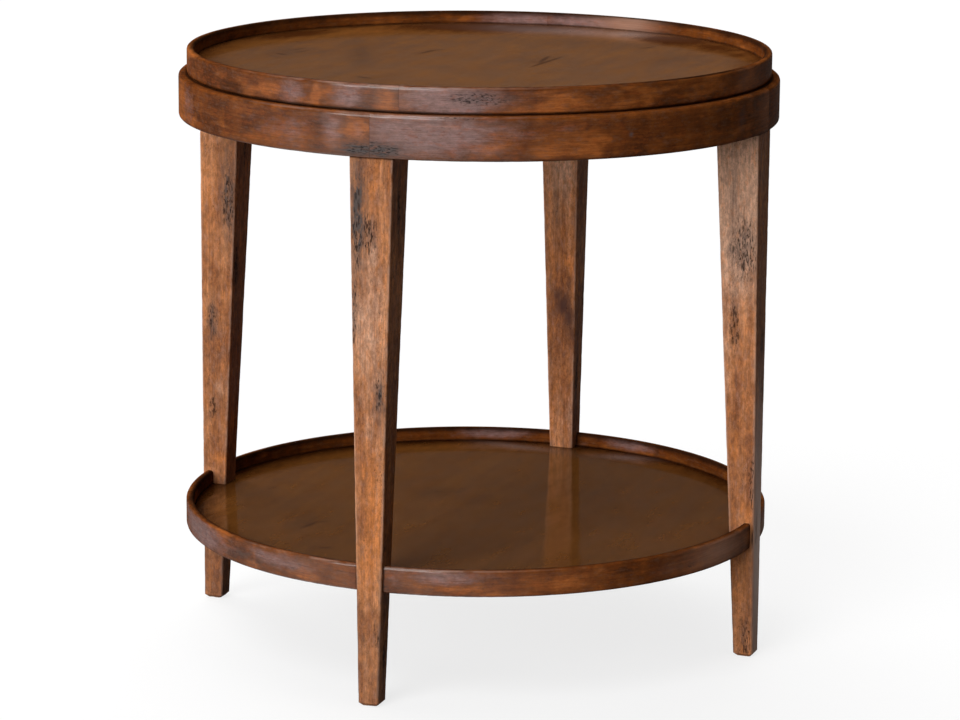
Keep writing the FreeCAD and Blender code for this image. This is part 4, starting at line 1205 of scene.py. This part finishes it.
def inside_points(radius, clear):
    """Evenly spread points over a board, where clear says that there is room for them."""
    steps = np.arange(-radius, radius, BOARD_STEP)
    across, along = np.meshgrid(steps, steps * math.sqrt(3) / 2 * BOARD_ROW_STRETCH)
    across[::2] += BOARD_STEP / 2
    middle = np.stack([across.ravel(), along.ravel()], axis=1)
    middle = middle[np.hypot(*middle.T) < radius - BOARD_EDGE_RINGS[-1] - BOARD_STEP / 2]
    points = np.concatenate([middle] + [round_outline(radius - inset) for inset in BOARD_EDGE_RINGS])
    return points[clear(points)]


def net_inside(border, inside):
    """A net of triangles over the points inside a border."""
    ring = [list(range(len(border)))]
    points, _, faces, *_ = delaunay_2d_cdt(border + inside, [], ring, TRIANGLES_INSIDE, MERGE_DISTANCE)
    return points, faces


def board_mesh(outline, inside, low, high):
    """A flat board with an even net of triangles on its upper face."""
    border = [Vector(p) for p in outline]
    count = len(border)
    upper, upper_faces = net_inside(border, [Vector(p) for p in inside])
    lower, lower_faces = net_inside(border, [])
    points = [(p.x, p.y, high) for p in upper] + [(p.x, p.y, low) for p in lower]
    base = len(upper)
    walls = [(i, base + i, base + (i + 1) % count, (i + 1) % count) for i in range(count)]
    faces = list(upper_faces) + [[base + i for i in reversed(face)] for face in lower_faces] + walls
    mesh = bpy.data.meshes.new("board")
    mesh.from_pydata(points, [], faces)
    turn_outward(mesh)
    return mesh


def make_board(node, outline, clear, low, high, material, order):
    radius = np.hypot(*outline.T).max()
    mesh = board_mesh(outline, inside_points(radius, clear), low, high)
    piece = new_piece(node + "_wood", mesh)
    points = points_of(mesh)
    right, back, level = points.T
    give(mesh, "rub_and_highlight", np.zeros(len(points)))
    give(mesh, "grain", np.stack([back + order * GRAIN_SHIFT, right, level], axis=1))
    # The board darkens towards its rim with painted shade
    edge_shade_depth, edge_shade_reach = BOARD_EDGE_SHADE[node]
    masks = [("grime_and_shade", near(radius - np.hypot(right, back), edge_shade_reach), edge_shade_depth),
             ("polish", np.ones(len(points)), 1.0)]
    upper = facing(normals_of(mesh), UPWARD)
    for _, kind, row in listed({"top": BOARD_SPOTS[node]}):
        mask = spot_mask(right, back, row[:2], row[2:4], row[4])
        masks.append((kind, upper * mask, row[-1]))
    paint_spots(mesh, masks)
    dress(piece, node, material, BOARD_WEAR | {"Seed": BOARD_SEED + order})


def make_boards():
    reach, _, half = leg_at(SHELF_BOARD_HIGH)

    def clear_of_tray(points):
        return np.hypot(*points.T) < TRAY_INNER - BOARD_ROOM

    def clear_of_legs(points):
        far, near_side = np.abs(points).max(axis=1), np.abs(points).min(axis=1)
        notched = (far > reach + BOARD_LET_IN - BOARD_ROOM) & (near_side < half + BOARD_ROOM)
        return (np.hypot(*points.T) < SHELF_INNER - BOARD_ROOM) & ~notched

    make_board("top_panel", round_outline(TRAY_INNER), clear_of_tray, TOP_BOARD_LOW, TOP_BOARD_HIGH,
               TOP_WOOD, 1)
    make_board("shelf_panel", shelf_outline(SHELF_INNER), clear_of_legs, SHELF_BOARD_LOW, SHELF_BOARD_HIGH,
               SHADED_SHELF_WOOD, 2)


# Pieces inside the table keep their solids and take a finish

INNER_FINISHES = {"glue_block": BLOCK_WOOD, "dowels": DOWEL_WOOD, "screws": SCREW_STEEL}


def finish_inner_pieces():
    for name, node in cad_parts.items():
        for part, material in INNER_FINISHES.items():
            if part in name:
                node.data.materials.clear()
                node.data.materials.append(material)


# Stage, light and camera

FLOOR_SIZE = 60.0
FLOOR_GREY = (0.06, 0.06, 0.06, 1)
WHITE = (1, 1, 1, 1)
FLOOR_GLOW_SHARE = 0.78
SKY_LOW, SKY_HIGH, SKY_CROWN = 0.03, 0.09, 0.5
SKY_DARK, SKY_TOP = (0.05, 0.05, 0.05, 1), (0.2, 0.2, 0.2, 1)

# Lights: azimuth and elevation in degrees, strength, softness in degrees, and whether reflections show them
LIGHTS = {
    "key_light": ((-12, 52), 1.0, 26, True),
    "window_light": ((-15, 9), 2.9, 44, True),
    "side_light": ((-100, 28), 0.8, 60, False),
    "back_light": ((-146, 42), 1.9, 60, False),
    "right_light": ((95, 50), 0.19, 60, False),
}

# Camera that took the photo
PHOTO_WIDTH_PX = 960
FOCAL_PX = 3698
SENSOR_MM = 36
CAMERA_AZIMUTH = math.radians(19.76)
CAMERA_DISTANCE = 3732.5 * MM
CAMERA_HEIGHT = 1105.8 * MM
CAMERA_PITCH = math.radians(12.42)
CAMERA_YAW = math.radians(0.05)
CAMERA_ROLL = math.radians(0.51)


def seen_ray(nodes):
    """1 for a ray that shows the background to the camera, straight or in a reflection."""
    path = nodes.add("ShaderNodeLightPath").outputs
    mirrored = nodes.math("MAXIMUM", path["Is Glossy Ray"], path["Is Transmission Ray"])
    return nodes.math("MAXIMUM", path["Is Camera Ray"], mirrored)


def pale_floor():
    """A grey floor that shows as white, and keeps the shade that the table casts on it."""
    material = bpy.data.materials.new("pale_floor")
    material.use_nodes = True
    tree = material.node_tree
    tree.nodes.remove(tree.nodes["Principled BSDF"])
    nodes = Nodes(tree)
    plain = nodes.add("ShaderNodeBsdfDiffuse", {"Color": FLOOR_GREY}).outputs[0]
    shaded = nodes.add("ShaderNodeBsdfDiffuse", {"Color": WHITE}).outputs[0]
    glow = nodes.add("ShaderNodeEmission", {"Color": WHITE, "Strength": 1.0}).outputs[0]
    white = nodes.add("ShaderNodeMixShader", {0: FLOOR_GLOW_SHARE, 1: shaded, 2: glow}).outputs[0]
    shown = nodes.add("ShaderNodeMixShader", {0: seen_ray(nodes), 1: plain, 2: white}).outputs[0]
    tree.links.new(shown, tree.nodes["Material Output"].inputs["Surface"])
    return material


def make_floor():
    half = FLOOR_SIZE / 2
    mesh = bpy.data.meshes.new("floor")
    corners = [(-half, -half, 0), (half, -half, 0), (half, half, 0), (-half, half, 0)]
    mesh.from_pydata(corners, [], [(0, 1, 2, 3)])
    mesh.materials.append(pale_floor())
    floor = new_piece("floor", mesh)


def from_angles(azimuth, elevation):
    """The direction from the table towards an azimuth, 0 at the front and growing right, and an elevation."""
    a, e = math.radians(azimuth), math.radians(elevation)
    return Vector((math.sin(a) * math.cos(e), -math.cos(a) * math.cos(e), math.sin(e)))


def add_light(name, angles, strength, softness, mirrored):
    data = bpy.data.lights.new(name, "SUN")
    data.energy = strength
    data.angle = math.radians(softness)
    light = bpy.data.objects.new(name, data)
    light.rotation_euler = from_angles(*angles).to_track_quat("Z", "Y").to_euler()
    light.visible_glossy = mirrored
    bpy.context.scene.collection.objects.link(light)


def make_sky():
    """A dim room with a pale horizon in reflections, white to the camera."""
    world = bpy.data.worlds.new("studio")
    world.use_nodes = True
    bpy.context.scene.world = world
    nodes = Nodes(world.node_tree)
    direction = nodes.add("ShaderNodeTexCoord").outputs["Generated"]
    height = nodes.add("ShaderNodeSeparateXYZ", {0: direction}).outputs[2]
    sky = nodes.mix(nodes.between(height, SKY_CROWN, 1.0), SKY_DARK, SKY_TOP)
    shown = nodes.mix(nodes.between(height, SKY_LOW, SKY_HIGH), WHITE, sky)
    camera_ray = nodes.add("ShaderNodeLightPath").outputs["Is Camera Ray"]
    colour = nodes.mix(camera_ray, nodes.mix(seen_ray(nodes), sky, shown), WHITE)
    world.node_tree.links.new(colour, world.node_tree.nodes["Background"].inputs["Color"])


def make_camera():
    data = bpy.data.cameras.new("photo_camera")
    data.sensor_fit = "HORIZONTAL"
    data.sensor_width = SENSOR_MM
    data.lens = FOCAL_PX * SENSOR_MM / PHOTO_WIDTH_PX
    camera = bpy.data.objects.new("photo_camera", data)
    bpy.context.scene.collection.objects.link(camera)
    heading = CAMERA_AZIMUTH - CAMERA_YAW
    right = Vector((math.cos(heading), math.sin(heading), 0))
    ahead = Vector((-math.sin(heading) * math.cos(CAMERA_PITCH), math.cos(heading) * math.cos(CAMERA_PITCH),
                    -math.sin(CAMERA_PITCH)))
    up = right.cross(ahead)
    rolled_right = right * math.cos(CAMERA_ROLL) + up * math.sin(CAMERA_ROLL)
    rolled_up = up * math.cos(CAMERA_ROLL) - right * math.sin(CAMERA_ROLL)
    turned = Matrix((rolled_right, rolled_up, -ahead)).transposed()
    place = Vector((math.sin(CAMERA_AZIMUTH) * CAMERA_DISTANCE, -math.cos(CAMERA_AZIMUTH) * CAMERA_DISTANCE,
                    CAMERA_HEIGHT))
    camera.matrix_world = Matrix.Translation(place) @ turned.to_4x4()
    bpy.context.scene.camera = camera


make_strips()
for leg_order, leg_node in enumerate(LEG_ANGLES, 1):
    make_leg(leg_node, leg_order)
make_boards()
finish_inner_pieces()
make_floor()
for light_name, light in LIGHTS.items():
    add_light(light_name, *light)
make_sky()
make_camera()
bpy.context.scene.view_settings.view_transform = "Standard"
